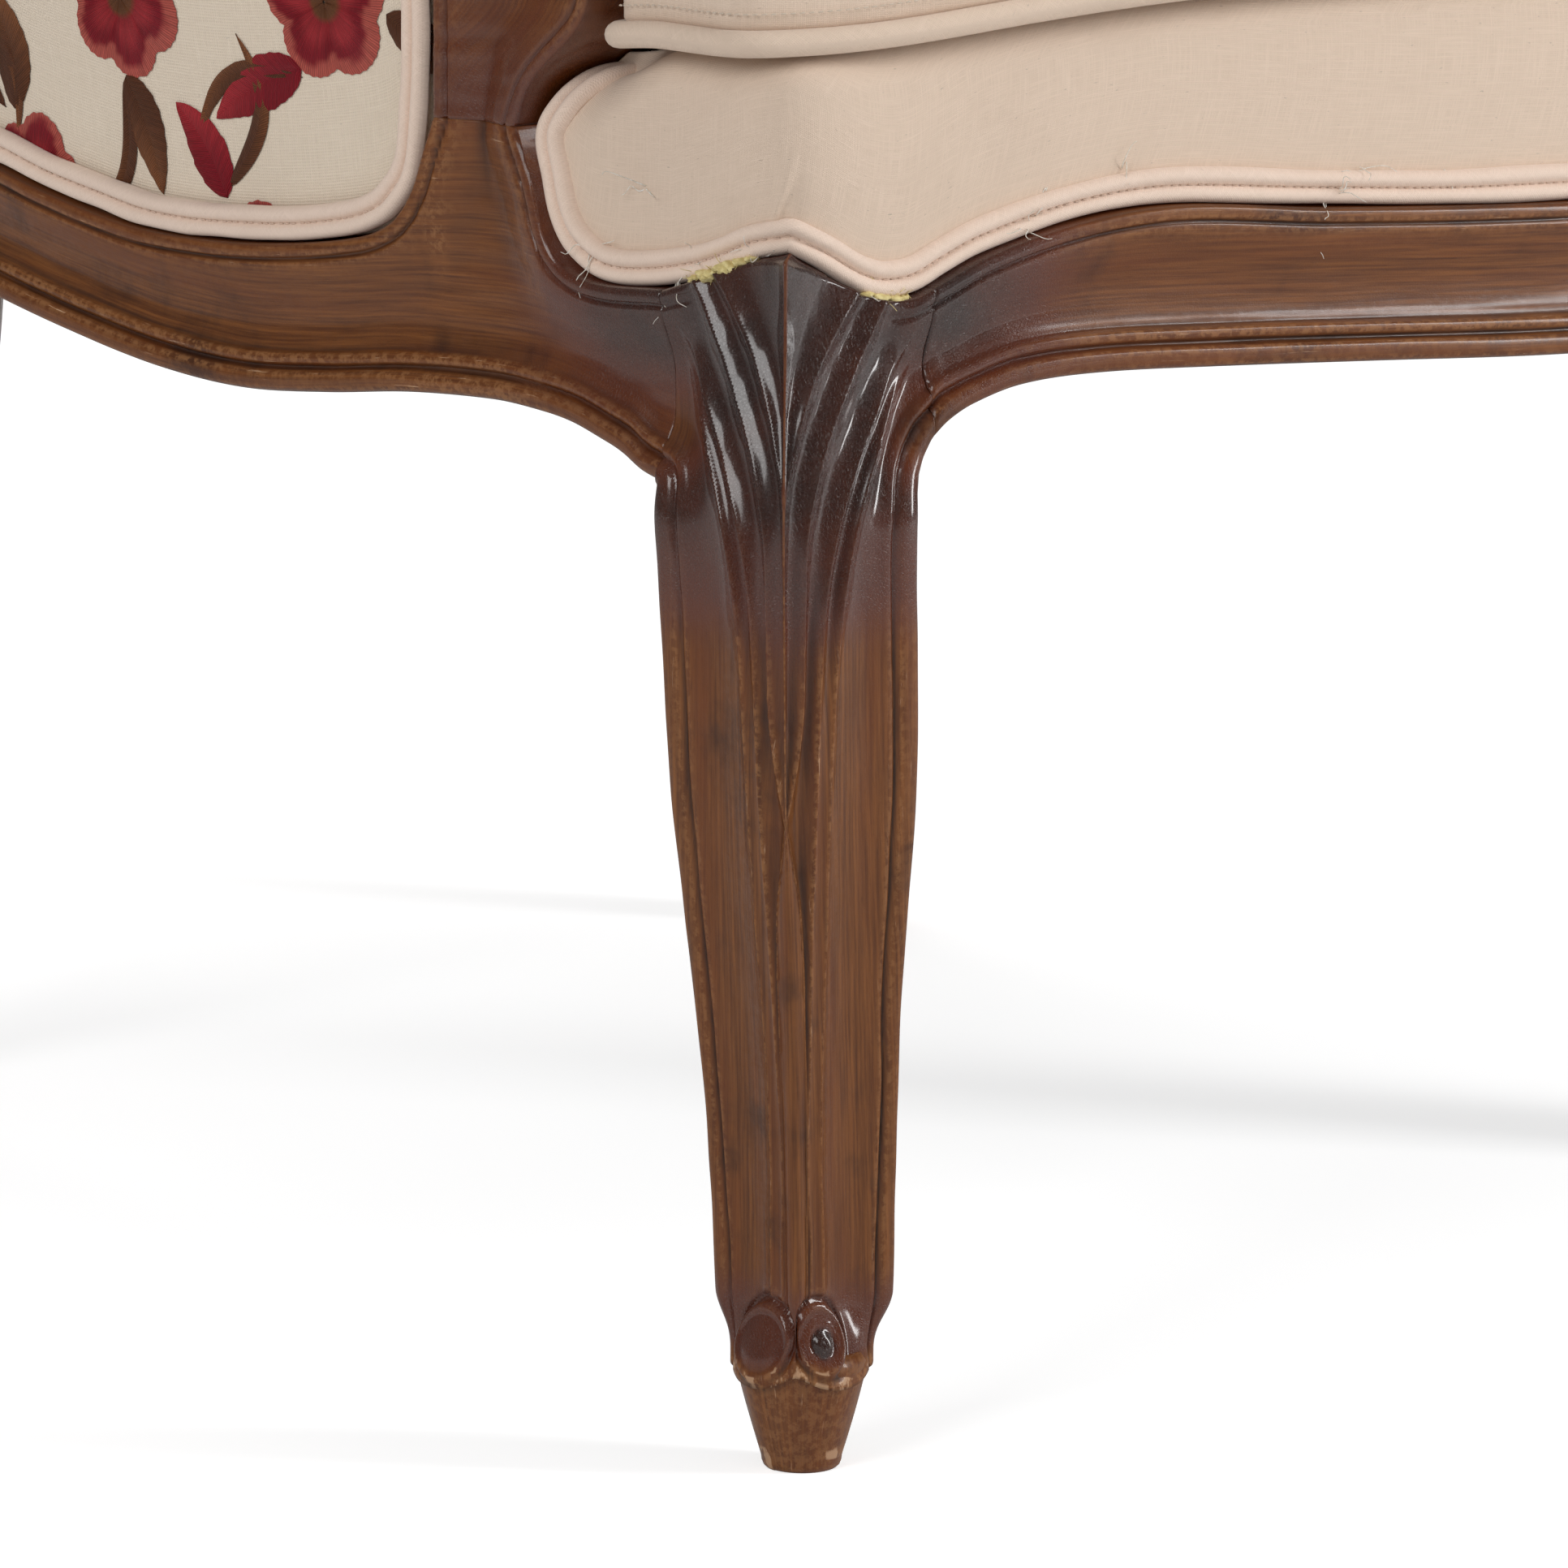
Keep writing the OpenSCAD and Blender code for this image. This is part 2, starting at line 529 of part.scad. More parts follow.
// Screws through the blocks into the legs: head, shank and direction
screw_l = 38;
head_d = 9;
head_h = 3;
function screw_places() = let (s = stile_at, n = out(s), zs = corner_block_z + corner_block_h / 2,
        f = block_w + corner_block_l, mid = [f / 2, f / 2], o = frame_in + 2 * gap + stile_block_t)
    [[[mid[0] - half_corner, mid[1] + corner_y, zs], [-1, -1, 0] / sqrt(2)],
     [[plan(s)[0] - n[0] * o, plan(s)[1] - n[1] * o, zs], [n[0], n[1], 0]]];
module block_screws(grow) {
    for (p = screw_places())
        translate(p[0])
            rotate([0, 90, atan2(p[1][1], p[1][0])]) {
                translate([0, 0, -fine])
                    cylinder(h = screw_l + grow + fine, d = screw_d + 2 * grow, $fn = 24);
                if (grow == 0)
                    translate([0, 0, -head_h])
                        cylinder(h = head_h, d = head_d, $fn = 24);
            }
}
module corner_blocks() {
    color(beech)
        for (s = [0, 1])
            mirror([s, 0, 0])
                difference() {
                    translate([0, 0, corner_block_z])
                        linear_extrude(corner_block_h) {
                            front_block_2d();
                            stile_block_2d();
                        }
                    block_screws(dowel_gap);
                }
}
module corner_block_screws() {
    color(steel)
        for (s = [0, 1])
            mirror([s, 0, 0]) block_screws(0);
}

// Tack rails, to which the tub's webbing and covers are fixed above the deck
tack_up = 5;                    // from the deck to the tack rails
tack_z = deck_z + tack_up;
module tack_rail(t0, t1) {
    color(beech)
        skin([for (t = stations(t0, t1))
            [wall(t, tack_z, -frame_in), wall(t, tack_z, -tack_in),
             wall(t, tack_z + tack_h, -tack_in), wall(t, tack_z + tack_h, -frame_in)]]);
}

// Seat: webbing under the rails, springs, hessian, stuffing and the deck's covers
web_count = 5;
web_pitch = 72;
seat_mid_y = corner_y / 9;
module webs_2d(turn) {
    intersection() {
        difference() {
            polygon(outline(lip_t + gap));
            blocks_2d(gap);
            stiles_2d(gap);
        }
        for (i = [0 : web_count - 1])
            rotate(turn)
                translate([(i - (web_count - 1) / 2) * web_pitch + (turn ? seat_mid_y : 0), 0])
                    square([webbing_w, 2 * tub_w], center = true);
    }
}
module seat_webbing() {
    color(jute)
        for (k = [0, 1])
            translate([0, 0, web_z - gap - webbing_t - k * (webbing_t + fine)])
                linear_extrude(webbing_t) webs_2d(k * 90);
}
spring_pitch = 132;
spring_end_r = 40;
spring_waist_r = 27;
spring_sides = 4;
spring_rings = 8;
module spring() {
    reach = spring_wire / 2 * cos(180 / spring_sides);
    z0 = web_z + reach;
    z1 = ledge_z - reach;
    n = spring_turns * spring_rings;
    function centre(u) = let (r = spring_waist_r + (spring_end_r - spring_waist_r) * (2 * u - 1) ^ 2,
        a = 360 * spring_turns * u) [r * cos(a), r * sin(a), mix(z0, z1, u)];
    skin([for (i = [0 : n]) let (u = i / n, a = 360 * spring_turns * u, c = centre(u),
            e = [cos(a), sin(a), 0])
        [for (k = [0 : spring_sides - 1]) let (b = 360 * (k + 0.5) / spring_sides)
            c + spring_wire / 2 * (e * cos(b) + [0, 0, sin(b)])]]);
}
module seat_springs() {
    color(steel)
        for (i = [-1 : 1], j = [-1 : 1])
            translate([i * spring_pitch, j * spring_pitch + seat_mid_y, 0]) spring();
}
module seat_layer(z, h, inset) {
    translate([0, 0, z])
        linear_extrude(h)
            difference() {
                polygon(outline(inset));
                stiles_2d(gap);
                posts_2d(gap);
            }
}
roll_d = 15;
roll_off = rebate + gap + roll_d / 2;
stuffing_inset = rebate + 2 * gap + roll_d + gap;
module seat_hessian() {
    color(jute) seat_layer(ledge_z + gap, sheet_t, rebate + cover_t + gap);
}
module seat_stuffing() {
    color(hair) seat_layer(ledge_z + 2 * gap + sheet_t,
        deck_z - cover_t - ledge_z - 3 * gap - sheet_t, stuffing_inset);
}
module deck_lining() {
    color(linen) seat_layer(deck_z - cover_t + gap, cover_t - gap, corner_r);
}

// Path of the deck's cloth round the front: point, outward direction, and the
// signed distance from the corner
function deck_half() = concat(
    [for (s = [0.91 * deck_side_end, 0.7 * deck_side_end, 0.45 * deck_side_end])
        let (t = s / side_run) [plan(t), [-1, 0], -s]],
    [for (a = steps(180, 270, 4))
        [[corner_r - half_corner, corner_y + corner_r] + corner_r * [cos(a), sin(a)],
         [cos(a), sin(a)], corner_r * (a - 225) / 45]],
    [for (x = steps(corner_r * 2 - half_corner, 0, 11)) [[x, front_y(x)], [0, -1], x + half_corner]]);
function deck_path() = let (h = deck_half())
    concat(h, [for (i = [len(h) - 2 : -1 : 0])
        [[-h[i][0][0], h[i][0][1]], [-h[i][1][0], h[i][1][1]], h[i][2]]]);
deck_edge_r = 9;                // roundness of the deck's front edge
function deck_section(line) = let (o = cover_face, z = deck_z, r = deck_edge_r)
    [[o, line + tuck], [o, ledge_z], [o, z - r], [o - 0.3 * r, z - 0.3 * r], [o - r, z],
     [gap - corner_r, z], [gap - corner_r, z - cover_t], [o - r, z - cover_t],
     [o - 0.3 * r - cover_t * 0.7, z - 0.3 * r - cover_t * 0.7], [o - cover_t, z - r],
     [o - cover_t, ledge_z], [o - cover_t, line + tuck]];
function deck_shift(p, c, z) = let (t = (p[1] - corner_y) / side_run, e = post_edge(z) - gap * 4 / side_run)
    c < 0 && t > e ? corner_y + e * side_run : p[1];
module deck_cover() {
    color(linen)
        skin([for (d = deck_path())
            [for (q = deck_section(deck_line(d[2]))) let (p = d[0] + d[1] * q[0])
                [p[0], deck_shift(p, d[2], q[1]), q[1]]]], strip = true);
}
module front_edge_roll() {
    h = deck_z - cover_t - ledge_z - 3 * gap - sheet_t;
    zc = ledge_z + 2 * gap + sheet_t + h / 2;
    color(hair)
        skin([for (d = deck_path())
            [for (a = steps(0, 300, 5)) let (p = d[0] - d[1] * (roll_off - roll_d / 2 * cos(a)),
                    z = zc + h / 2 * sin(a))
                [p[0], deck_shift(p, d[2], z), z]]]);
}

// Double welt laid along a path of [point, outward direction] with its middle on it
welt_shares = [[-0.5, 0], [-0.42, 0.9], [0, 0.72], [0.42, 0.9], [0.5, 0]];
function welt_rings(path, loop) = let (m = len(path))
    [for (i = [0 : m - 1])
        let (a = path[loop ? (i + m - 1) % m : max(0, i - 1)][0],
             b = path[loop ? (i + 1) % m : min(m - 1, i + 1)][0],
             n = path[i][1], across = unit(cross(b - a, n)))
        [for (q = welt_shares) path[i][0] + across * q[0] * welt_w + n * q[1] * welt_t]];
function flat3(d) = [d[0], d[1], 0];
deck_welt_off = cover_face + gap;
probe = 2;                      // half the length over which a slope is measured
welt_turn_shares = [[0.925, 1.5], [0.895, 1.3], [0.84, 1.12], [0.74, 1.02]];
function welt_lift(c) = let (g = (deck_line(c + probe) - deck_line(c - probe)) / (2 * probe))
    tuck + welt_w / 2 * sqrt(1 + g ^ 2);
function deck_welt_half() = concat(
    [for (z = steps(deck_z - deck_edge_r, ledge_z, 3))
        [wall(post_edge(z) - 1.25 * welt_w / side_run, z, deck_welt_off), [-1, 0, 0]]],
    [for (r = welt_turn_shares) let (t = r[0] * deck_side_end / side_run)
        [wall(t, arch_z + show_h * r[1], deck_welt_off), [-1, 0, 0]]],
    [for (s = [0.6 * deck_side_end, 0.4 * deck_side_end])
        [wall(s / side_run, deck_line(-s) + welt_lift(-s), deck_welt_off), [-1, 0, 0]]],
    [for (d = deck_half()) if (d[2] > -corner_r * 1.1)
        let (p = d[0] + d[1] * deck_welt_off)
        [[p[0], p[1], deck_line(d[2]) + welt_lift(d[2])], flat3(d[1])]]);
module deck_welt() {
    h = deck_welt_half();
    color(cream)
        skin(welt_rings(concat(h, [for (i = [len(h) - 2 : -1 : 0])
            [[-h[i][0][0], h[i][0][1], h[i][0][2]], [-h[i][1][0], h[i][1][1], 0]]]), false));
}

// Dust cover under the webbing, with its tacks
dust_z = web_z - 3 * gap - 2 * webbing_t - sheet_t - fine;
tack_d = 1.6;
tack_head_d = 6;
tack_head_h = 1.2;
tack_l = 14;
// Each tack stands midway between two straps of the webbing
function side_station(y) = y < widest_y ? (y - corner_y) / side_run
    : 2 - acos((y - widest_y) / back_run) / 90;
tack_places = concat([for (k = [-0.5, 0.5, 1.5]) side_station(seat_mid_y + k * web_pitch)],
    [2 - asin(web_pitch / tub_w) / 90]);
module tacks(grow) {
    o = -(lip_t + rail_t) / 2;
    for (p = concat([for (t = tack_places) wall(t, dust_z, o)],
            [for (k = [0.5, 1.5]) front(-k * web_pitch, dust_z, o)]))
        translate(p) {
            translate([0, 0, grow > 0 ? -tack_l : 0])
                cylinder(h = grow > 0 ? 2 * tack_l + grow : tack_l, d = tack_d + 2 * grow, $fn = 16);
            if (grow == 0)
                translate([0, 0, -tack_head_h])
                    cylinder(h = tack_head_h, d = tack_head_d, $fn = 16);
        }
}
module dust_cover_tacks() {
    color(steel)
        for (s = [0, 1])
            mirror([s, 0, 0]) tacks(0);
}
module tack_holes_2d() {
    for (s = [0, 1])
        mirror([s, 0])
            projection(cut = false) tacks(dowel_gap);
}
module dust_cover() {
    color(cambric)
        translate([0, 0, dust_z])
            linear_extrude(sheet_t)
                difference() {
                    polygon(outline(lip_t + gap));
                    blocks_2d(gap);
                    stiles_2d(gap);
                    tack_holes_2d();
                }
}

// Inside of the tub: webbing straps, stuffing and cover
inner_half = -half_plan(post_share)[0] - lining_in - arm_stuffing - cover_t;
function inner_in(t) = let (h = half_t(t)) h <= 1 ? -half_plan(h)[0] - inner_half
    : mix(half_tub - inner_half, lining_in + back_stuffing + cover_t, ease(h - 1));
strap_places_shares = [0.58, 0.82, 1.1, 1.38, 1.72, 1.9];
module tub_webbing() {
    w = webbing_w / 2 / back_arc;
    color(jute)
        for (s = [0, 1])
            mirror([s, 0, 0])
                for (c = strap_places_shares)
                    skin([for (t = stations(c - w, c + w)) let (o = -frame_in - 2 * gap)
                        [for (q = [[tack_z, o], [top_mid(t), o],
                                [top_mid(t), o - webbing_t], [tack_z, o - webbing_t]])
                            wall(t, q[0], q[1])]]);
}
inside_low = deck_z + gap;
top_fall = 3;                   // fall of the stuffing's top from the rail to its edge
top_turn_h = 22;                // height over which it turns down into the tub
function inside_section(t, in, low, up, back) = let (z = top_mid(t) + up)
    [[-back, low], [-back, z], [-mix(back, in, 0.6), z - top_fall], [-mix(back, in, 0.95), z - top_turn_h],
     [-in, mix(low, z, 0.4)], [-in, low]];
module tub_stuffing() {
    color(hair)
        skin([for (e = [inside_share + cover_t / side_run], t = stations(e, 4 - e))
            [for (q = inside_section(t, inner_in(t) - cover_t, inside_low, 0, lining_in))
                wall(t, q[1], q[0])]]);
}
module tub_cover() {
    color(linen)
        skin([for (t = stations(inside_share, 4 - inside_share))
            let (a = inside_section(t, inner_in(t), inside_low, cover_t, lining_in),
                 b = inside_section(t, inner_in(t) - cover_t + gap, inside_low, gap, lining_in))
            [for (q = concat([for (i = [1 : 5]) a[i]], [for (i = [5 : -1 : 1]) b[i]]))
                wall(t, q[1], q[0])]]);
}
function tub_welt_path() = [for (t = stations(inside_share, 4 - inside_share))
    [wall(t, top_mid(t) + cover_t + gap + welt_w / 2 * sqrt(1 + top_slope(t) ^ 2),
        -frame_in - 2 * gap), -flat3(out(t))]];
module tub_welt() {
    color(cream) skin(welt_rings(tub_welt_path(), false));
}

// Outside covers: each fills its opening between the show wood, drawn tight at
// its edges, with a double welt over them
panel_clear = 2;                // from the arm post to the front edge of its outside cover
panel_t0 = post_share + panel_clear / side_run;
panel_t1 = stile_t0 - gap / back_arc;
panel_back_t0 = stile_t1 + gap / back_arc;
function panel_low(t) = side_line(t) + gap;
function panel_top(t) = top_mid(t) - arm_size(t) * top_half(t) - gap;
module outside_cover(t0, t1) {
    color(crewel)
        skin([for (t = stations(t0, t1))
            let (u = (t - t0) / (t1 - t0), a = panel_low(t), b = panel_top(t),
                o = cover_face - cover_t)
            concat([for (v = steps(0, 1, 6)) wall(t, mix(a, b, v),
                    cover_face + cover_swell * sin(180 * u) ^ 0.7 * sin(180 * v) ^ 0.7)],
                [wall(t, b, o), wall(t, a, o)])]);
}
function panel_loop(t0, t1) =
    let (e = welt_w / 2 / side_run, o = cover_face + cover_swell * 0.37 + gap, h = welt_w / 2,
         lows = stations(t0 + 2 * e, t1 - 2 * e))
    [for (q = concat([for (t = lows) [t, max(panel_low(t - e), panel_low(t + e)) + h]],
            [for (v = steps(0.06, 0.93, 5)) [t1 - e, mix(panel_low(t1), panel_top(t1 - e), v)]],
            reversed([for (t = lows) [t, panel_top(t) - h * sqrt(1 + top_slope(t) ^ 2)]]),
            [for (v = steps(0.92, 0.1, 5)) [t0 + e, mix(panel_low(t0), panel_top(t0), v)]]))
        [wall(q[0], q[1], o), flat3(out(q[0]))]];
module outside_welt(t0, t1) {
    color(cream) skin(welt_rings(panel_loop(t0, t1), true), true);
}

// Arm pads on the arm rails, each with its own welt round the foot
pad_w = 34;
function pad_mid_off() = (rail_out - frame_in) / 2;
function pad_swell(t) = let (u = (t - pad_from) / (pad_to - pad_from))
    sin(180 * max(0.04, min(0.96, u))) ^ 0.35;
module arm_pad() {
    color(crewel)
        skin([for (t = stations(pad_from, pad_to))
            let (z = top_mid(t) + top_half(t) + gap, k = pad_swell(t), h = pad_w / 2 * k)
            [for (q = [[-1, 0], [-1.0, 0.35], [-0.75, 0.8], [-0.3, 1], [0.3, 1], [0.75, 0.8],
                    [1.0, 0.35], [1, 0]])
                wall(t, z + q[1] * pad_h * k, pad_mid_off() + q[0] * h)]]);
}
function pad_loop() =
    let (mid = pad_mid_off(), ts = stations(pad_from, pad_to), e = 3 * gap / side_run, w = pad_w / 8)
    [for (q = concat(
            [for (t = ts) [t, mid + pad_w / 2 * pad_swell(t) + 2 * gap, flat3(out(t))]],
            [for (o = [w, -w]) [pad_to + e, mid + o, along(pad_to)]],
            [for (t = reversed(ts)) [t, mid - pad_w / 2 * pad_swell(t) - 2 * gap, -flat3(out(t))]],
            [for (o = [-w, w]) [pad_from - e, mid + o, -along(pad_from)]]))
        let (r = q[0] + welt_t / side_run)
        [wall(q[0], top_mid(r) + top_half(r) + 2 * gap + welt_w / 2 * sqrt(1 + top_slope(r) ^ 2),
            q[1]), q[2]]];
module arm_pad_welt() {
    color(cream) skin(welt_rings(pad_loop(), true), true);
}

// Loose T-shaped cushion: a grid of cells with ears in front of the posts, a
// crown on both faces, and a border drawn in between its two pipings
seam = 3;                       // chamfer of the cover under each piping
pipe_off = (piping_d / 2 + gap) / sqrt(2) - seam / 2;
pipe_reach = pipe_off + piping_d / 2;
border_in = 1.5;                // how far the border is drawn in at its middle
cushion_low = deck_z + gap + pipe_reach;
cushion_top = cushion_low + cushion_h;
slack = 2 * gap;
ear_back = corner_y + at(post_edge_shares, 0.29) * side_run - pipe_reach - slack;
ear_half = half_corner - pipe_reach;
ear_round = 16;                 // how far the ears' front corners are drawn back
body_half = inner_half - pipe_reach - slack;
body_back = back_run - inner_in(2) - pipe_reach - 3 * slack;
cols = 5;
ear_cols = 2;
rows = 8;
ear_rows = 2;
wide = cols + ear_cols;
function cushion_back(x) =
    widest_y + body_back * sqrt(max(0, 1 - (x / (body_half + fine)) ^ 2));
function cell_x(i) = let (a = min(abs(i), cols) / cols, e = max(0, abs(i) - cols) / ear_cols)
    sign(i) * (body_half * sin(90 * a) + (ear_half - body_half) * e);
function cell_xy(i, j) = let (x = cell_x(i), e = max(0, abs(i) - cols) / ear_cols,
        f = front_y(x) + pipe_reach + ear_round * e ^ 3)
    [x, j <= ear_rows ? mix(f, ear_back, j / ear_rows)
        : mix(ear_back, cushion_back(x), (j - ear_rows) / (rows - ear_rows))];
cells = concat(
    [for (j = [0 : ear_rows], i = [-wide : wide]) [i, j]],
    [for (j = [ear_rows + 1 : rows], i = [-cols : cols]) [i, j]]);
function cell_id(i, j) = j <= ear_rows ? j * (2 * wide + 1) + i + wide
    : (ear_rows + 1) * (2 * wide + 1) + (j - ear_rows - 1) * (2 * cols + 1) + i + cols;
quads = concat(
    [for (j = [0 : ear_rows - 1], i = [-wide : wide - 1]) [i, j]],
    [for (j = [ear_rows : rows - 1], i = [-cols : cols - 1]) [i, j]]);
border_half = concat([for (i = [0 : wide]) [i, 0]],
    [for (j = [1 : ear_rows]) [wide, j]],
    [for (i = [wide - 1 : -1 : cols]) [i, ear_rows]],
    [for (j = [ear_rows + 1 : rows]) [cols, j]],
    [for (i = [cols - 1 : -1 : 0]) [i, rows]]);
border = concat(border_half, [for (k = [len(border_half) - 2 : -1 : 1])
    [-border_half[k][0], border_half[k][1]]]);
border_xy = [for (b = border) cell_xy(b[0], b[1])];
border_n = len(border);
border_out = [for (k = [0 : border_n - 1])
    let (d = unit(border_xy[(k + 1) % border_n] - border_xy[(k + border_n - 1) % border_n]))
    [d[1], -d[0]]];
cell_reach = [for (c = cells) let (p = cell_xy(c[0], c[1])) min([for (b = border_xy) norm(p - b)])];
crown_reach = 120;
function crown_at(k) = sin(90 * min(1, cell_reach[k] / crown_reach));
function cell_points(z, height, inset) = [for (k = [0 : len(cells) - 1])
    let (c = cells[k], p = cell_xy(c[0], c[1]), b = cell_reach[k] > fine ? []
            : [for (m = [0 : border_n - 1]) if (norm(border_xy[m] - p) < fine) m],
         q = b == [] ? p : p - border_out[b[0]] * inset)
    [q[0], q[1], z + height * crown_at(k)]];
function border_ring(inset, z) = [for (k = [0 : border_n - 1])
    let (q = border_xy[k] - border_out[k] * inset) [q[0], q[1], z]];
module pillow(inset) {
    lo = cushion_low + inset;
    hi = cushion_top - inset;
    n = len(cells);
    lip = [for (b = border) cell_id(b[0], b[1])];
    at_ring = concat([lip], [for (r = [0 : 2]) [for (k = [0 : border_n - 1]) 2 * n + r * border_n + k]],
        [[for (i = lip) i + n]]);
    solid(concat(cell_points(hi, cushion_crown, inset + seam),
            cell_points(lo, -pipe_reach, inset + seam),
            border_ring(inset, hi - seam), border_ring(inset + border_in, (lo + hi) / 2),
            border_ring(inset, lo + seam)),
        concat(
            [for (q = quads) let (a = cell_id(q[0], q[1]), b = cell_id(q[0] + 1, q[1]),
                    c = cell_id(q[0] + 1, q[1] + 1), d = cell_id(q[0], q[1] + 1))
                each [[a, b, c], [a, c, d], [n + a, n + c, n + b], [n + a, n + d, n + c]]],
            [for (r = [0 : 3], k = [0 : border_n - 1]) let (m = (k + 1) % border_n,
                    a = at_ring[r], b = at_ring[r + 1])
                each [[a[k], b[k], b[m]], [a[k], b[m], a[m]]]]));
}
module cushion_filling() {
    color(hair) pillow(cover_t + gap);
}
module cushion_cover() {
    color(linen)
        difference() {
            pillow(0);
            pillow(cover_t);
        }
}
pipe_sides = 6;
module cushion_piping() {
    color(cream)
        for (e = [-1, 1])
            skin([for (k = [0 : border_n - 1])
                let (z = e > 0 ? cushion_top + pipe_off : cushion_low - pipe_off)
                [for (m = [0 : pipe_sides - 1]) let (a = 360 * (m + 0.5) / pipe_sides + 45,
                        q = border_xy[k] + border_out[k] * (pipe_off + piping_d / 2 * cos(a)))
                    [q[0], q[1], z + piping_d / 2 * sin(a)]]], true);
}

front_leg();  // front_leg_left
right() front_leg();  // front_leg_right
back_leg();  // back_leg_left
right() back_leg();  // back_leg_right
front_rail();
side_rail();  // side_rail_left
right() side_rail();  // side_rail_right
back_rail();
arm_post();  // arm_post_left
right() arm_post();  // arm_post_right
arm_rail();  // arm_rail_left
right() arm_rail();  // arm_rail_right
crest_rail();
frame_dowels();
corner_blocks();
corner_block_screws();
tack_rail(post_share, stile_t0);  // tack_rail_left
right() tack_rail(post_share, stile_t0);  // tack_rail_right
tack_rail(stile_t1, 4 - stile_t1);  // tack_rail_back
seat_webbing();
seat_springs();
seat_hessian();
seat_stuffing();
front_edge_roll();
deck_lining();
deck_cover();
deck_welt();
dust_cover();
dust_cover_tacks();
tub_webbing();
tub_stuffing();
tub_cover();
tub_welt();
outside_cover(panel_t0, panel_t1);  // outside_cover_left
right() outside_cover(panel_t0, panel_t1);  // outside_cover_right
outside_cover(panel_back_t0, 4 - panel_back_t0);  // outside_cover_back
outside_welt(panel_t0, panel_t1);  // outside_welt_left
right() outside_welt(panel_t0, panel_t1);  // outside_welt_right
outside_welt(panel_back_t0, 4 - panel_back_t0);  // outside_welt_back
arm_pad();  // arm_pad_left
right() arm_pad();  // arm_pad_right
arm_pad_welt();  // arm_pad_welt_left
right() arm_pad_welt();  // arm_pad_welt_right
cushion_filling();
cushion_cover();
cushion_piping();
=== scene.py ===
"""Upholstered tub chair: carved walnut show frame, linen covers with embroidered panels.

The frame is drawn in wall coordinates, in millimetres: a station t along the tub (0 at the
left front corner, 1 at the widest place, 2 at the middle of the back, 3 and 4 mirrored on
the right), a height z, and a distance outwards from the tub's wall. On the side the wall
runs back from the corner while its plan widens by a squared sine. Round the back it is a
half ellipse. It leans out by an angle that eases from the arms to the back.
Carving is a depth below that wall, as a function of the distance to the nearest edge of
the show wood.
"""
import bpy
import numpy as np
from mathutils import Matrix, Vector


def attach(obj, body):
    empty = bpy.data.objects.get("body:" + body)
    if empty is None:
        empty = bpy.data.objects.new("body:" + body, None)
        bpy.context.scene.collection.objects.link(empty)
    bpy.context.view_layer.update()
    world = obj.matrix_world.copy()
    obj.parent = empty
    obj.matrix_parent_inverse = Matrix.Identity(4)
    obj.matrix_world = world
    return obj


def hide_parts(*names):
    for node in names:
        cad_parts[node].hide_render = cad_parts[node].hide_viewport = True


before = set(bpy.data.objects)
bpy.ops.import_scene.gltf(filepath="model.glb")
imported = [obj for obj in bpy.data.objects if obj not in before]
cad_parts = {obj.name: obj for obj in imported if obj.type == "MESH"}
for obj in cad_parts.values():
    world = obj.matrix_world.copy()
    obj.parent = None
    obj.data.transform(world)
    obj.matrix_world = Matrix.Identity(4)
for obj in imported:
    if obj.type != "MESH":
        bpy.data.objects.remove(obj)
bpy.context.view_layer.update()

# ---------------------------------------------------------------------------------------
# Studio: a pale floor, a bright even surround, a large soft light high on the right and
# a weaker one on the left. The camera stands at the photograph's angle, with a long lens.
mm = 0.001
LOOK_AT = (-303, -330, 189)
CAMERA_AT = (-1974.2, -2321.7, 677)
FOCAL_PX, FRAME_PX, SENSOR, FAR_CLIP = 13000, 1932, 36, 60
LAMP_AIM = (-100, -150, 300)
LAMPS = (("key", (1500, -2300, 1250), (0.36, 2.1), 44),
         ("fill", (-2600, -900, 1700), (1.3, 1.3), 27),
         ("rim", (900, 2400, 2200), (1.6, 1.6), 12))
SURROUND, SHEEN_CUT, FLOOR_GLOW = 0.34, -0.2, 0.6
PAPER, FLOOR_HALF = 0.86, 30


def turn_to(obj, place, target):
    """Stands an object at a place and points its -Z axis at the target, Y up."""
    obj.location = Vector(place) * mm
    away = (Vector(target) - Vector(place)) * mm
    obj.rotation_euler = away.to_track_quat("-Z", "Y").to_euler()
    bpy.context.scene.collection.objects.link(obj)


camera = bpy.data.cameras.new("camera")
camera.sensor_width = SENSOR
camera.lens = SENSOR * FOCAL_PX / FRAME_PX
camera.clip_end = FAR_CLIP
camera_obj = bpy.data.objects.new("camera", camera)
turn_to(camera_obj, CAMERA_AT, LOOK_AT)
bpy.context.scene.camera = camera_obj

for name, place, size, power in LAMPS:
    lamp = bpy.data.lights.new(name, "AREA")
    lamp.shape = "RECTANGLE"
    lamp.size, lamp.size_y = size
    lamp.energy = power
    turn_to(bpy.data.objects.new(name, lamp), place, LAMP_AIM)


def nodes_of(tree):
    """Empties a node tree and returns makers of nodes and links."""
    tree.nodes.clear()

    def node(kind, **values):
        made = tree.nodes.new(kind)
        for key, value in values.items():
            if key.startswith("in_"):
                made.inputs[int(key[3:])].default_value = value
            else:
                setattr(made, key, value)
        return made
    return node, tree.links.new


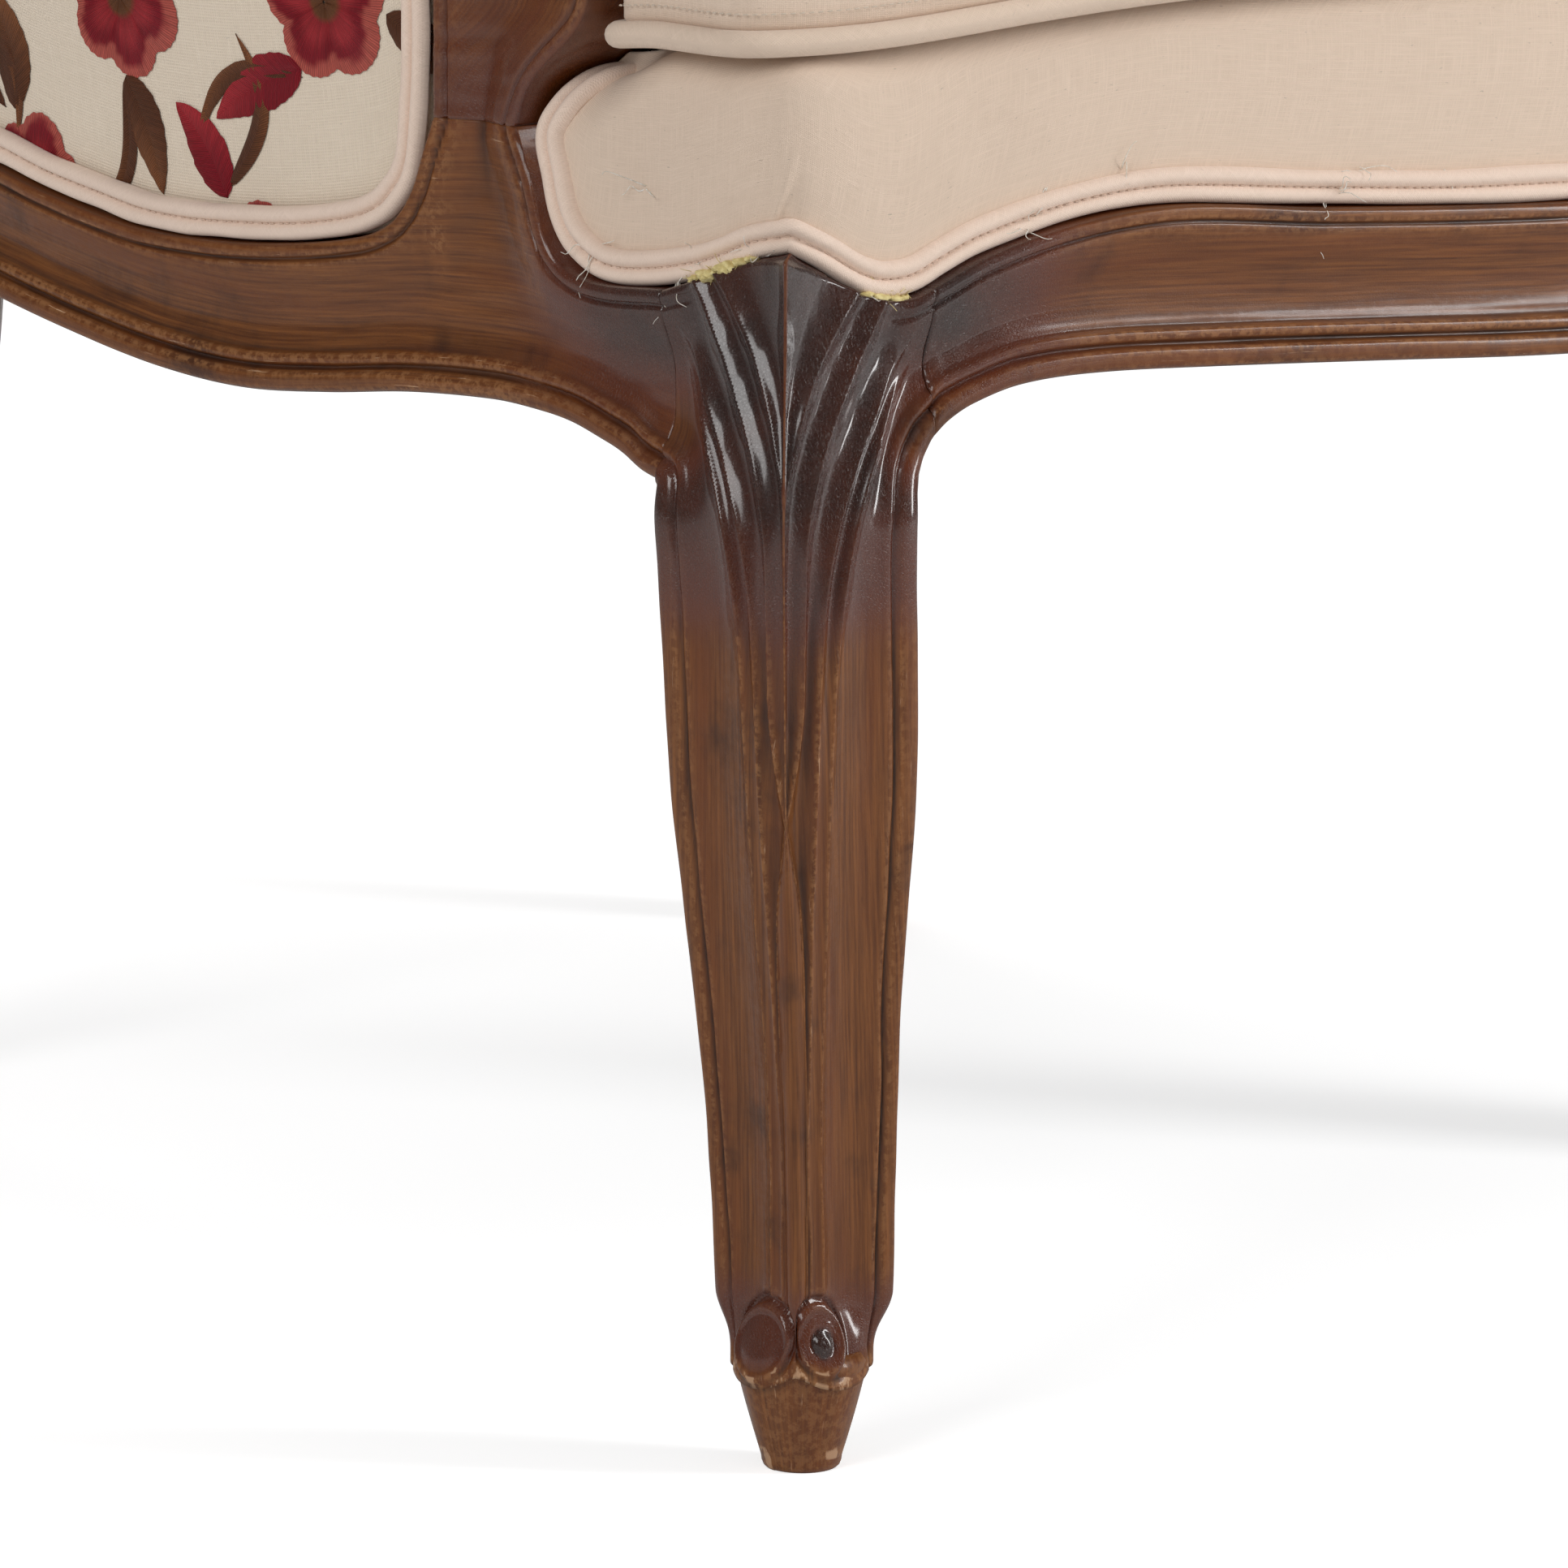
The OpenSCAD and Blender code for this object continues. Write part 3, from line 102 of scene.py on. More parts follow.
world = bpy.data.worlds.new("surround")
bpy.context.scene.world = world
world.use_nodes = True
node, link = nodes_of(world.node_tree)
path = node("ShaderNodeLightPath")
seen = node("ShaderNodeMath", operation="MAXIMUM")
link(path.outputs["Is Camera Ray"], seen.inputs[0])
link(path.outputs["Is Transmission Ray"], seen.inputs[1])
bright = node("ShaderNodeMapRange", in_3=SURROUND, in_4=1.0)
link(seen.outputs[0], bright.inputs[0])
sheen = node("ShaderNodeMapRange", in_3=0.0, in_4=SHEEN_CUT)
link(path.outputs["Is Glossy Ray"], sheen.inputs[0])
bright_sum = node("ShaderNodeMath", operation="ADD")
link(bright.outputs[0], bright_sum.inputs[0])
link(sheen.outputs[0], bright_sum.inputs[1])
glow = node("ShaderNodeBackground", in_0=(1, 1, 1, 1))
link(bright_sum.outputs[0], glow.inputs[1])
link(glow.outputs[0], node("ShaderNodeOutputWorld").inputs[0])


def plain_material(name):
    """A material with an empty tree, and the makers of its nodes and links."""
    material = bpy.data.materials.new(name)
    material.use_nodes = True
    node, link = nodes_of(material.node_tree)
    return material, node, link


floor_mat, node, link = plain_material("floor_paper")
path = node("ShaderNodeLightPath")
glow = node("ShaderNodeEmission", in_0=(1, 1, 1, 1))
lift = node("ShaderNodeMath", operation="MULTIPLY", in_1=FLOOR_GLOW)
link(path.outputs["Is Camera Ray"], lift.inputs[0])
link(lift.outputs[0], glow.inputs[1])
paper = node("ShaderNodeBsdfDiffuse", in_0=(PAPER, PAPER, PAPER, 1))
both = node("ShaderNodeAddShader")
link(glow.outputs[0], both.inputs[0])
link(paper.outputs[0], both.inputs[1])
link(both.outputs[0], node("ShaderNodeOutputMaterial").inputs[0])
floor_mesh = bpy.data.meshes.new("floor")
floor_mesh.from_pydata([(x * FLOOR_HALF, y * FLOOR_HALF, 0) for x, y in
                        ((-1, -1), (1, -1), (1, 1), (-1, 1))], [], [(0, 1, 2, 3)])
floor = bpy.data.objects.new("floor", floor_mesh)
floor_mesh.materials.append(floor_mat)
bpy.context.scene.collection.objects.link(floor)
bpy.context.scene.view_settings.view_transform = "Standard"

# ---------------------------------------------------------------------------------------
# Front legs: carved cabriole legs of walnut, each one timber with its square block. A fan
# of flutes runs down from the knee to a rib between two coves, which end at a scroll foot
# on a turned peg. The rails are dowelled into the block.
CORNER = np.array([-300.0, -327.0])
ARCH, SHOW, LEDGE = 277.0, 39.0, 345.0
BLOCK, KNEE_OUT, ANKLE_IN = 48.0, 6.0, 28.0
SIDE_RUN, BACK_RUN, HALF_TUB, HALF_CORNER, BOW = 305.0, 300.0, 325.0, 300.0, 30.0
WIDEST_Y = CORNER[1] + SIDE_RUN
BACK_ARC = np.pi / 4 * (HALF_TUB + BACK_RUN)
REBATE, CORNER_R = 10.0, 22.0
SIDES = ((False, "left"), (True, "right"))


def curve(rows):
    """Smooth curve through [place, value] rows: a cubic in each span, whose slope at a row
    is that of the line between its neighbours, held level past the ends."""
    x, y = np.array(rows, float).T
    n = len(x)
    a, b = np.maximum(np.arange(n) - 1, 0), np.minimum(np.arange(n) + 1, n - 1)
    slope = (y[b] - y[a]) / (x[b] - x[a])

    def value(v):
        v = np.clip(v, x[0], x[-1])
        i = np.clip(np.searchsorted(x, v, side="right") - 1, 0, n - 2)
        h = x[i + 1] - x[i]
        u = (v - x[i]) / h
        return ((2 * u**3 - 3 * u**2 + 1) * y[i] + (u**3 - 2 * u**2 + u) * h * slope[i]
                + (3 * u**2 - 2 * u**3) * y[i + 1] + (u**3 - u**2) * h * slope[i + 1])
    return value


def ease(v, a=0.0, b=1.0):
    """Cubic step from 0 at a to 1 at b."""
    u = np.clip((v - a) / (b - a), 0, 1)
    return u * u * (3 - 2 * u)


def mix(a, b, u):
    """a where u is 0 and b where u is 1."""
    return a + (b - a) * u


def unit(v):
    """Vectors scaled to length 1."""
    return v / np.linalg.norm(v, axis=-1, keepdims=True)


def lengths(points, axis):
    """Running length along one axis of a grid of points."""
    step = np.linalg.norm(np.diff(points, axis=axis), axis=-1)
    return np.concatenate([np.zeros_like(np.take(step, [0], axis)), np.cumsum(step, axis)], axis)


def bell(v, size):
    """Bump of height 1 at 0, by a squared exponential."""
    return np.exp(-(v / size)**2)


def distance_to(line, u, v):
    """Distance of points (u, v) to a polyline."""
    best = np.full(np.broadcast(u, v).shape, 1e6)
    for a, b in zip(line[:-1], line[1:]):
        way = b - a
        w = np.clip(((u - a[0]) * way[0] + (v - a[1]) * way[1]) / (way @ way), 0, 1)
        best = np.minimum(best, (u - a[0] - w * way[0])**2 + (v - a[1] - w * way[1])**2)
    return np.sqrt(best)


def level(v):
    """Directions in plan as level directions in space."""
    return np.pad(v, ((0, 0), (0, 1)))


def wobble(*axes, seed=0, count=7, size=1.0):
    """Soft irregularity about zero: a sum of sines of the given coordinates, with seeded
    directions, wavelengths and phases."""
    rng = np.random.default_rng(seed)
    total = 0
    for _ in range(count):
        ways = rng.normal(size=len(axes))
        total = total + np.sin(sum(w * a for w, a in zip(ways, axes)) / size
                               + rng.uniform(0, 2 * np.pi))
    return total / count**0.5


def blurred(field, rows, cols):
    """Mean of a grid over a window, by running sums along both axes."""
    for axis, reach in ((0, rows), (1, cols)):
        pad = [(reach, reach) if a == axis else (0, 0) for a in (0, 1)]
        wide = np.cumsum(np.pad(field, pad, mode="edge"), axis=axis)
        first = np.take(wide, [0], axis=axis) * 0
        wide = np.concatenate([first, wide], axis=axis)
        span = 2 * reach + 1
        n = field.shape[axis]
        field = (np.take(wide, np.arange(n) + span, axis=axis)
                 - np.take(wide, np.arange(n), axis=axis)) / span
    return field


def grid_faces(rows, cols, loop_rows=False, loop_cols=False, first=0):
    """Quads of a grid of points, row by row, closed round either way."""
    i = np.arange(rows if loop_rows else rows - 1)[:, None]
    j = np.arange(cols if loop_cols else cols - 1)[None, :]
    a, b = i * cols + j, i * cols + (j + 1) % cols
    c, d = (i + 1) % rows * cols + (j + 1) % cols, (i + 1) % rows * cols + j
    return np.stack([a, b, c, d], -1).reshape(-1, 4) + first


def tube_faces(rows, cols):
    """Faces of a closed tube: rings of points with a cap over each end."""
    return grid_faces(rows, cols, loop_cols=True).tolist() + [
        list(range(cols))[::-1], list(range((rows - 1) * cols, rows * cols))]


def piece(name, points, faces, material, body="frame", mirror=False, **fields):
    """Makes an object at the origin from points in millimetres and quads or lists of
    faces, on the chair's other side if mirrored. Points its faces outwards, stores fields
    on its points, and rides it."""
    mesh = bpy.data.meshes.new(name)
    points = np.asarray(points, float).reshape(-1, 3) * [-1.0 if mirror else 1.0, 1.0, 1.0]
    mesh.from_pydata(points * mm, [], [list(f) for f in faces])
    mesh.polygons.foreach_set("use_smooth", np.full(len(mesh.polygons), True))
    for key, value in fields.items():
        value = np.asarray(value, float)
        kind = "FLOAT_VECTOR" if value.ndim > 1 and value.shape[-1] == 3 else "FLOAT"
        layer = mesh.attributes.new(key, kind, "POINT")
        layer.data.foreach_set("vector" if kind == "FLOAT_VECTOR" else "value", value.ravel())
    mesh.update()
    corners = np.empty(len(mesh.loops), int)
    mesh.loops.foreach_get("vertex_index", corners)
    starts = np.empty(len(mesh.polygons), int)
    mesh.polygons.foreach_get("loop_start", starts)
    counts = np.empty(len(mesh.polygons), int)
    mesh.polygons.foreach_get("loop_total", counts)
    volume = 0.0
    for m in range(1, counts.max() - 1):
        use = starts[counts > m + 1]
        tri = points[[corners[use], corners[use + m], corners[use + m + 1]]]
        volume += np.einsum("ij,ij->", tri[0], np.cross(tri[1], tri[2]))
    if volume < 0:
        mesh.flip_normals()
    mesh.materials.append(material)
    made = bpy.data.objects.new(name, mesh)
    bpy.context.scene.collection.objects.link(made)
    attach(made, body)
    return made


def shading(name):
    """An empty material with makers of nodes, links, stretched noise, bands, a smooth
    range, a clamped product, a blend of two colours, a bump and the finished surface."""
    material, node, link = plain_material(name)

    def feed(socket, value):
        if isinstance(value, float):
            socket.default_value = value
        elif isinstance(value, tuple):
            socket.default_value = (*value, 1)
        else:
            link(value, socket)

    def noise(source, scale, detail=3.0, rough=0.55):
        bend = node("ShaderNodeMapping")
        bend.inputs["Scale"].default_value = scale
        link(source, bend.inputs["Vector"])
        made = node("ShaderNodeTexNoise")
        for key, value in (("Scale", 1.0), ("Detail", detail), ("Roughness", rough)):
            made.inputs[key].default_value = value
        link(bend.outputs[0], made.inputs["Vector"])
        return made.outputs["Fac"]

    def bands(source, axis, pitch, distortion):
        made = node("ShaderNodeTexWave", wave_type="BANDS", bands_direction=axis)
        made.inputs["Scale"].default_value = np.pi / 10 / (pitch * mm)
        made.inputs["Distortion"].default_value = distortion
        link(source, made.inputs["Vector"])
        return made.outputs["Fac"]

    def span(value, a, b, lo=0.0, hi=1.0):
        made = node("ShaderNodeMapRange", interpolation_type="SMOOTHSTEP")
        link(value, made.inputs[0])
        for k, v in zip((1, 2, 3, 4), (a, b, lo, hi)):
            made.inputs[k].default_value = v
        return made.outputs[0]

    def times(a, b, kind="MULTIPLY"):
        made = node("ShaderNodeMath", operation=kind)
        made.use_clamp = True
        feed(made.inputs[0], a)
        feed(made.inputs[1], b)
        return made.outputs[0]

    def blend(under, over, share):
        made = node("ShaderNodeMix", data_type="RGBA")
        feed(made.inputs["Factor"], share)
        feed(made.inputs[6], under)
        feed(made.inputs[7], over)
        return made.outputs[2]

    def bumped(height, strength, distance):
        made = node("ShaderNodeBump")
        for key, value in (("Height", height), ("Strength", strength), ("Distance", distance)):
            feed(made.inputs[key], value)
        return made.outputs[0]

    def surface(**inputs):
        made = node("ShaderNodeBsdfPrincipled")
        for key, value in inputs.items():
            feed(made.inputs[key.replace("_", " ")], value)
        link(made.outputs[0], node("ShaderNodeOutputMaterial").inputs[0])
        return material
    return node, link, noise, bands, span, times, blend, bumped, surface


def walnut_material():
    """Oiled and glazed walnut. Its point field `chart` gives the place along and across
    the grain, and `finish` gives hollow, worn and dark shares."""
    node, link, noise, bands, span, times, blend, bumped, surface = shading("walnut")
    along = node("ShaderNodeAttribute", attribute_name="chart").outputs["Vector"]
    place = node("ShaderNodeTexCoord").outputs["Object"]
    finish, height = node("ShaderNodeSeparateXYZ"), node("ShaderNodeSeparateXYZ")
    link(node("ShaderNodeAttribute", attribute_name="finish").outputs["Vector"], finish.inputs[0])
    link(place, height.inputs[0])
    hollow, worn, dark = finish.outputs

    streak = noise(along, (26, 900, 900), 5, 0.62)
    figure = noise(along, (5, 75, 75), 3)
    pores = noise(along, (160, 2600, 2600), 2, 0.7)
    scratch = noise(along, (60, 900, 900), 4, 0.7)
    blotch = noise(place, (34, 34, 34), 4, 0.6)
    chips = noise(place, (230, 230, 110), 4, 0.6)
    fine = noise(place, (420, 420, 420), 3, 0.7)
    dark = times(dark, span(blotch, 0.25, 0.70, 1.0, 0.72))
    foot_only = span(height.outputs[2], 0.030, 0.042, 1.0, 0.0)
    bare = times(times(span(worn, 0.72, 0.95), span(chips, 0.50, 0.57)), foot_only)
    colour = blend((0.095, 0.027, 0.0055), (0.255, 0.088, 0.019), span(streak, 0.25, 0.78))
    for layer, share in (
            ((0.160, 0.041, 0.007), span(figure, 0.42, 0.68, 0.0, 0.7)),
            ((0.05, 0.015, 0.005), span(pores, 0.60, 0.74, 0.0, 0.45)),
            ((0.032, 0.010, 0.004), times(span(blotch, 0.52, 0.74), 0.7)),
            ((0.34, 0.150, 0.052), times(times(worn, span(fine, 0.42, 0.6)), 0.65)),
            ((0.60, 0.37, 0.22), times(times(worn, span(scratch, 0.63, 0.7)), 0.9)),
            ((0.58, 0.35, 0.20), times(bare, 0.8)),
            ((0.022, 0.008, 0.004),
             times(times(hollow, span(blotch, 0.30, 0.62, 0.55, 1.0)), 0.85)),
            # The dark share: glaze on the legs and the rails beside them, and painted shade on the
            # arm posts' lower ends.
            ((0.105, 0.017, 0.004), span(dark, 0.0, 0.5, 0.0, 0.85)),
            ((0.017, 0.006, 0.004), span(dark, 0.3, 0.95, 0.0, 0.94))):
        colour = blend(colour, layer, share)

    crack = node("ShaderNodeTexVoronoi", feature="DISTANCE_TO_EDGE")
    crack.inputs["Scale"].default_value = 1150.0
    link(place, crack.inputs["Vector"])
    relief = node("ShaderNodeMath", operation="MULTIPLY_ADD", in_1=0.55)
    link(times(span(crack.outputs["Distance"], 0.0, 0.16), span(dark, 0.0, 0.6, 0.25, 1.0)),
         relief.inputs[0])
    link(times(span(streak, 0.3, 0.7), 0.35), relief.inputs[2])
    return surface(
        Base_Color=colour, Specular_IOR_Level=0.3,
        Roughness=times(span(fine, 0.3, 0.7, 0.34, 0.50), times(dark, 0.20), "SUBTRACT"),
        Coat_Weight=span(dark, 0.0, 0.6, 0.22, 1.0), Coat_Roughness=0.13,
        Normal=bumped(relief.outputs[0], span(dark, 0.0, 0.7, 0.3, 0.8), 0.0002))


walnut = walnut_material()

sweep = curve([[0.108, 1], [0.217, 0.97], [0.36, 0.72], [0.54, 0.25], [0.65, 0.05], [0.72, 0]])
knee = curve([[0.5, 0], [0.72, 0.5], [0.9, 1], [1.0, 0.7], [1.08, 0.33], [1.245, 0]])
side_wide = curve([[26, 30.4], [31, 31.0], [37, 32.0], [45, 32.9], [60, 33.6], [80, 34.8],
                   [100, 36.2], [120, 38.6], [140, 41.1], [160, 43.7], [180, 46.6],
                   [200, 48.0], [220, 49.2],
                   [238, 50.5], [249, 51.6], [258.7, 52.08]])
front_wide = curve([[26, 31.0], [31, 32.0], [37, 33.1], [45, 33.9], [60, 34.3], [80, 35.1],
                    [100, 36.2], [120, 37.4], [140, 39.6], [160, 42.1], [180, 44.3],
                    [200, 45.0], [220, 44.9],
                    [238, 44.7], [249, 44.9], [257, 45.6], [262, 46.6], [266.5, 48.6],
                    [270.8, 51.36]])
side_low = curve([[0.157, -0.47], [0.182, -0.42], [0.204, -0.33], [0.224, -0.27], [0.272, -0.16],
                  [0.32, -0.11], [0.368, -0.09], [0.464, -0.12], [0.561, -0.20], [0.661, -0.25],
                  [0.764, -0.20], [0.872, -0.07], [0.99, 0.10], [1.07, 0.23], [1.38, 0.23],
                  [1.54, 0.05], [1.68, 0.05], [1.82, 0.2], [2, 0.16]])
side_line = curve([[0, 0.80], [0.157, 0.80], [0.24, 0.78], [0.28, 0.88], [0.30, 1.08],
                   [0.312, 1.42], [0.33, 1.7], [0.425, 1.7], [0.436, 1.6], [0.449, 1.31],
                   [0.475, 1.03], [0.525, 0.87], [0.66, 0.74], [0.79, 0.74], [0.866, 0.82],
                   [0.925, 0.9], [1.03, 1.05], [2, 1.05]])
front_low = curve([[0.16, -0.16], [0.178, -0.05], [0.203, 0.04], [0.254, 0.14], [0.328, 0.17],
                   [0.451, 0.14], [0.618, 0.08], [0.819, 0], [1, -0.03]])
front_line = curve([[0, 1.11], [0.04, 1.0], [0.077, 0.87], [0.107, 0.79], [0.137, 0.77],
                    [0.167, 0.85], [0.22, 1.01], [0.313, 1.17], [0.413, 1.23], [0.57, 1.13],
                    [0.82, 1.03], [1, 1]])
corner_line = curve([[-0.16, 0.80], [-0.093, 0.96], [-0.05, 1.06], [0, 1.11]])


def deck_line(c):
    """Height of the show line by the distance c from the corner, negative on the side."""
    share = np.where(c >= 0, front_line(c / HALF_CORNER),
                     np.where(c > -0.157 * SIDE_RUN, corner_line(c / HALF_CORNER),
                              side_line(-c / SIDE_RUN)))
    return ARCH + SHOW * share


def leg_out(z):
    """How far the leg's arris lies outside its corner, along each face."""
    return (KNEE_OUT * knee(z / ARCH) - ANKLE_IN * sweep(z / ARCH)) / 2**0.5


def leg_wide(z, front=True):
    """Width of one outer face: tapering below the rail's spring, the block's above it."""
    spring = ARCH + SHOW * np.where(front, -0.16, -0.47)
    low = np.where(front, front_wide(z), side_wide(z))
    return np.where(z < spring, low, BLOCK + leg_out(z))


# Moulding of the show wood: depth by the distance from the lower edge and from the line
low_depth = curve([[0, 2.6], [0.5, 1.3], [1.4, 0.5], [3, 0.15], [4.6, 0.4], [5.6, 1.3],
                   [6.3, 2.7], [6.7, 2.9], [7.2, 2.2], [8.0, 1.6], [8.9, 1.5], [9.9, 1.9],
                   [10.7, 3.1], [11.2, 3.6], [12, 3.9], [14, 4.9], [17, 5.4], [22, 5.5]])
line_depth = curve([[0, 1.1], [0.8, 0.4], [2.2, 0.2], [3.4, 0.6], [4.0, 1.8], [4.5, 1.5],
                    [5.2, 1.0], [8, 1.5], [12, 3.0], [16, 4.5], [20, 5.3], [26, 5.5]])
ridges = [curve(r) for r in (
    [[256, 0], [264, 1.4], [271, 3.4], [283, 7.2], [294, 12.2], [308, 22.5], [322, 36]],
    [[175, 0], [184, 2.5], [194, 4.8], [206, 6.6], [225, 7.4], [248, 8.2], [264, 11.2],
     [276, 15.6], [290, 23], [304, 31.5], [322, 44]],
    [[60, 5.7], [86, 5.0], [109, 6.2], [128, 7.2], [150, 8.4], [177, 10.4], [203, 11.8],
     [228, 13.8], [245, 16.8], [257, 20.5], [270, 26.5], [283, 34], [297, 43], [322, 60]],
    [[60, 9.9], [86, 9.4], [109, 10.4], [128, 11.8], [150, 13.3], [177, 14.8], [201, 16.6],
     [220, 18.4], [240, 21.8], [260, 28], [275, 35.5], [288, 43], [322, 66]])]
bead_wide = curve([[37, 5.6], [60, 5.6], [88, 5.0], [106, 4.8], [125, 5.6], [150, 6.2],
                   [174, 7.0], [235, 7.3], [270, 6.6]])
bead_depth = curve([[0, 0.9], [0.08, 0.4], [0.2, 0.1], [0.45, 0.0], [0.75, 0.4], [0.93, 1.3],
                    [1.0, 2.0], [1.08, 1.5], [1.3, 0.6]])
rib_wide = curve([[60, 4.6], [128, 5.2], [150, 4.9], [165, 3.0], [178, 0.3]])
bow_low = curve([[0, 27.5], [3, 26.6], [8, 24.4], [13, 23.4], [19, 24.0], [25, 26.4], [30, 28]])
FOOT, FOOT_R = np.array([-266.24, -293.24]), 18.4
LEG_LOW, LEG_HIGH, SPAN_ROWS, TOP_ROWS, FACE_COLS = 26, 250.0, 236, 68, 150
LOBES = {True: (7.6, 37.5, 8.2, 9.6), False: (11.5, 36.5, 10.5, 10.0)}
EYE_P, EYE_Z, EYE_R = 8.6, 36.6, 3.1


def leg_depth(p, z, front):
    """Depth of the carving of one outer face, by the distance p from the arris: flutes
    between ridges that converge on the rib, a wide cove, and a bead along the edge."""
    beyond = np.linspace(BLOCK, 90, 22)
    low = ARCH + SHOW * (front_low(beyond / HALF_CORNER) if front
                         else side_low(beyond / SIDE_RUN))
    zs = np.linspace(20, low[0], 60)[:-1]
    d = distance_to(np.concatenate([np.stack([leg_wide(zs, front), zs], -1),
                                    np.stack([beyond + leg_out(low[0]), low], -1)]), p, z)
    wide = bead_wide(z)
    marks = [rib_wide(z)] + [np.maximum(r(z), 0.02) for r in ridges]
    marks = [marks[0]] + [np.maximum(m, marks[0] + 0.01) for m in marks[1:]]
    depth = 0.8 * (p / np.maximum(marks[0], 0.3))**2
    flute = (2.7, 2.9, 3.0, mix(0.55, 2.6, ease(z, 185, 240)))
    for a, b, deep in zip(marks[:-1], marks[1:], flute):
        u = np.clip((p - a) / np.maximum(b - a, 0.05), 0, 1)
        hill = deep * np.minimum(1, (b - a) / 6) * np.sin(np.pi * u)**0.9
        depth = np.where(p >= a, hill + mix(0.25, 0, ease(z, 150, 230)), depth)
    e = marks[-1]
    u = np.clip((p - e) / np.maximum(p - e + d - wide, 0.05), 0, 1)
    cove = 2.7 * np.clip((p - e + d - wide) / 9, 0, 1) * np.sin(np.pi * u)**0.7
    cove = cove + 1.4 * np.exp(-np.maximum(d / wide - 1.05, 0) * 9)
    depth = np.where(p >= e, cove, depth)
    depth = np.where(d < wide * 1.05, bead_depth(d / wide), depth)
    line = deck_line((p - leg_out(z)) * (1 if front else -1))
    rail = np.minimum(low_depth(d), line_depth(line - z))
    depth = mix(depth, rail, ease(p, 32, 47) * ease(z, 252, 276))
    # Scroll foot: a raised lobe with a round eye, outlined by a groove
    at, high, half_wide, half_tall = LOBES[front]
    far = np.hypot((p - at) / half_wide, (z - high) / half_tall)
    top = 0.7 - np.cos(np.clip(far, 0, 1) * np.pi / 2) - 0.9 * bell(far - 0.8, 0.09)
    top = top + 2.0 * bell(p, 1.3)
    if front:
        eye = np.hypot(p - EYE_P, z - EYE_Z) / EYE_R
        top = top + 0.8 * bell(eye - 1, 0.22) - 0.6 * (1 - ease(eye, 0.5, 1))
    depth = mix(depth, top, 1 - ease(far, 0.86, 1.0))
    depth = depth + 1.5 * bell(far - 1.04, 0.08) * ease(z, 27, 33)
    return mix(depth, depth * 0.4, ease(-z, -33, -26))


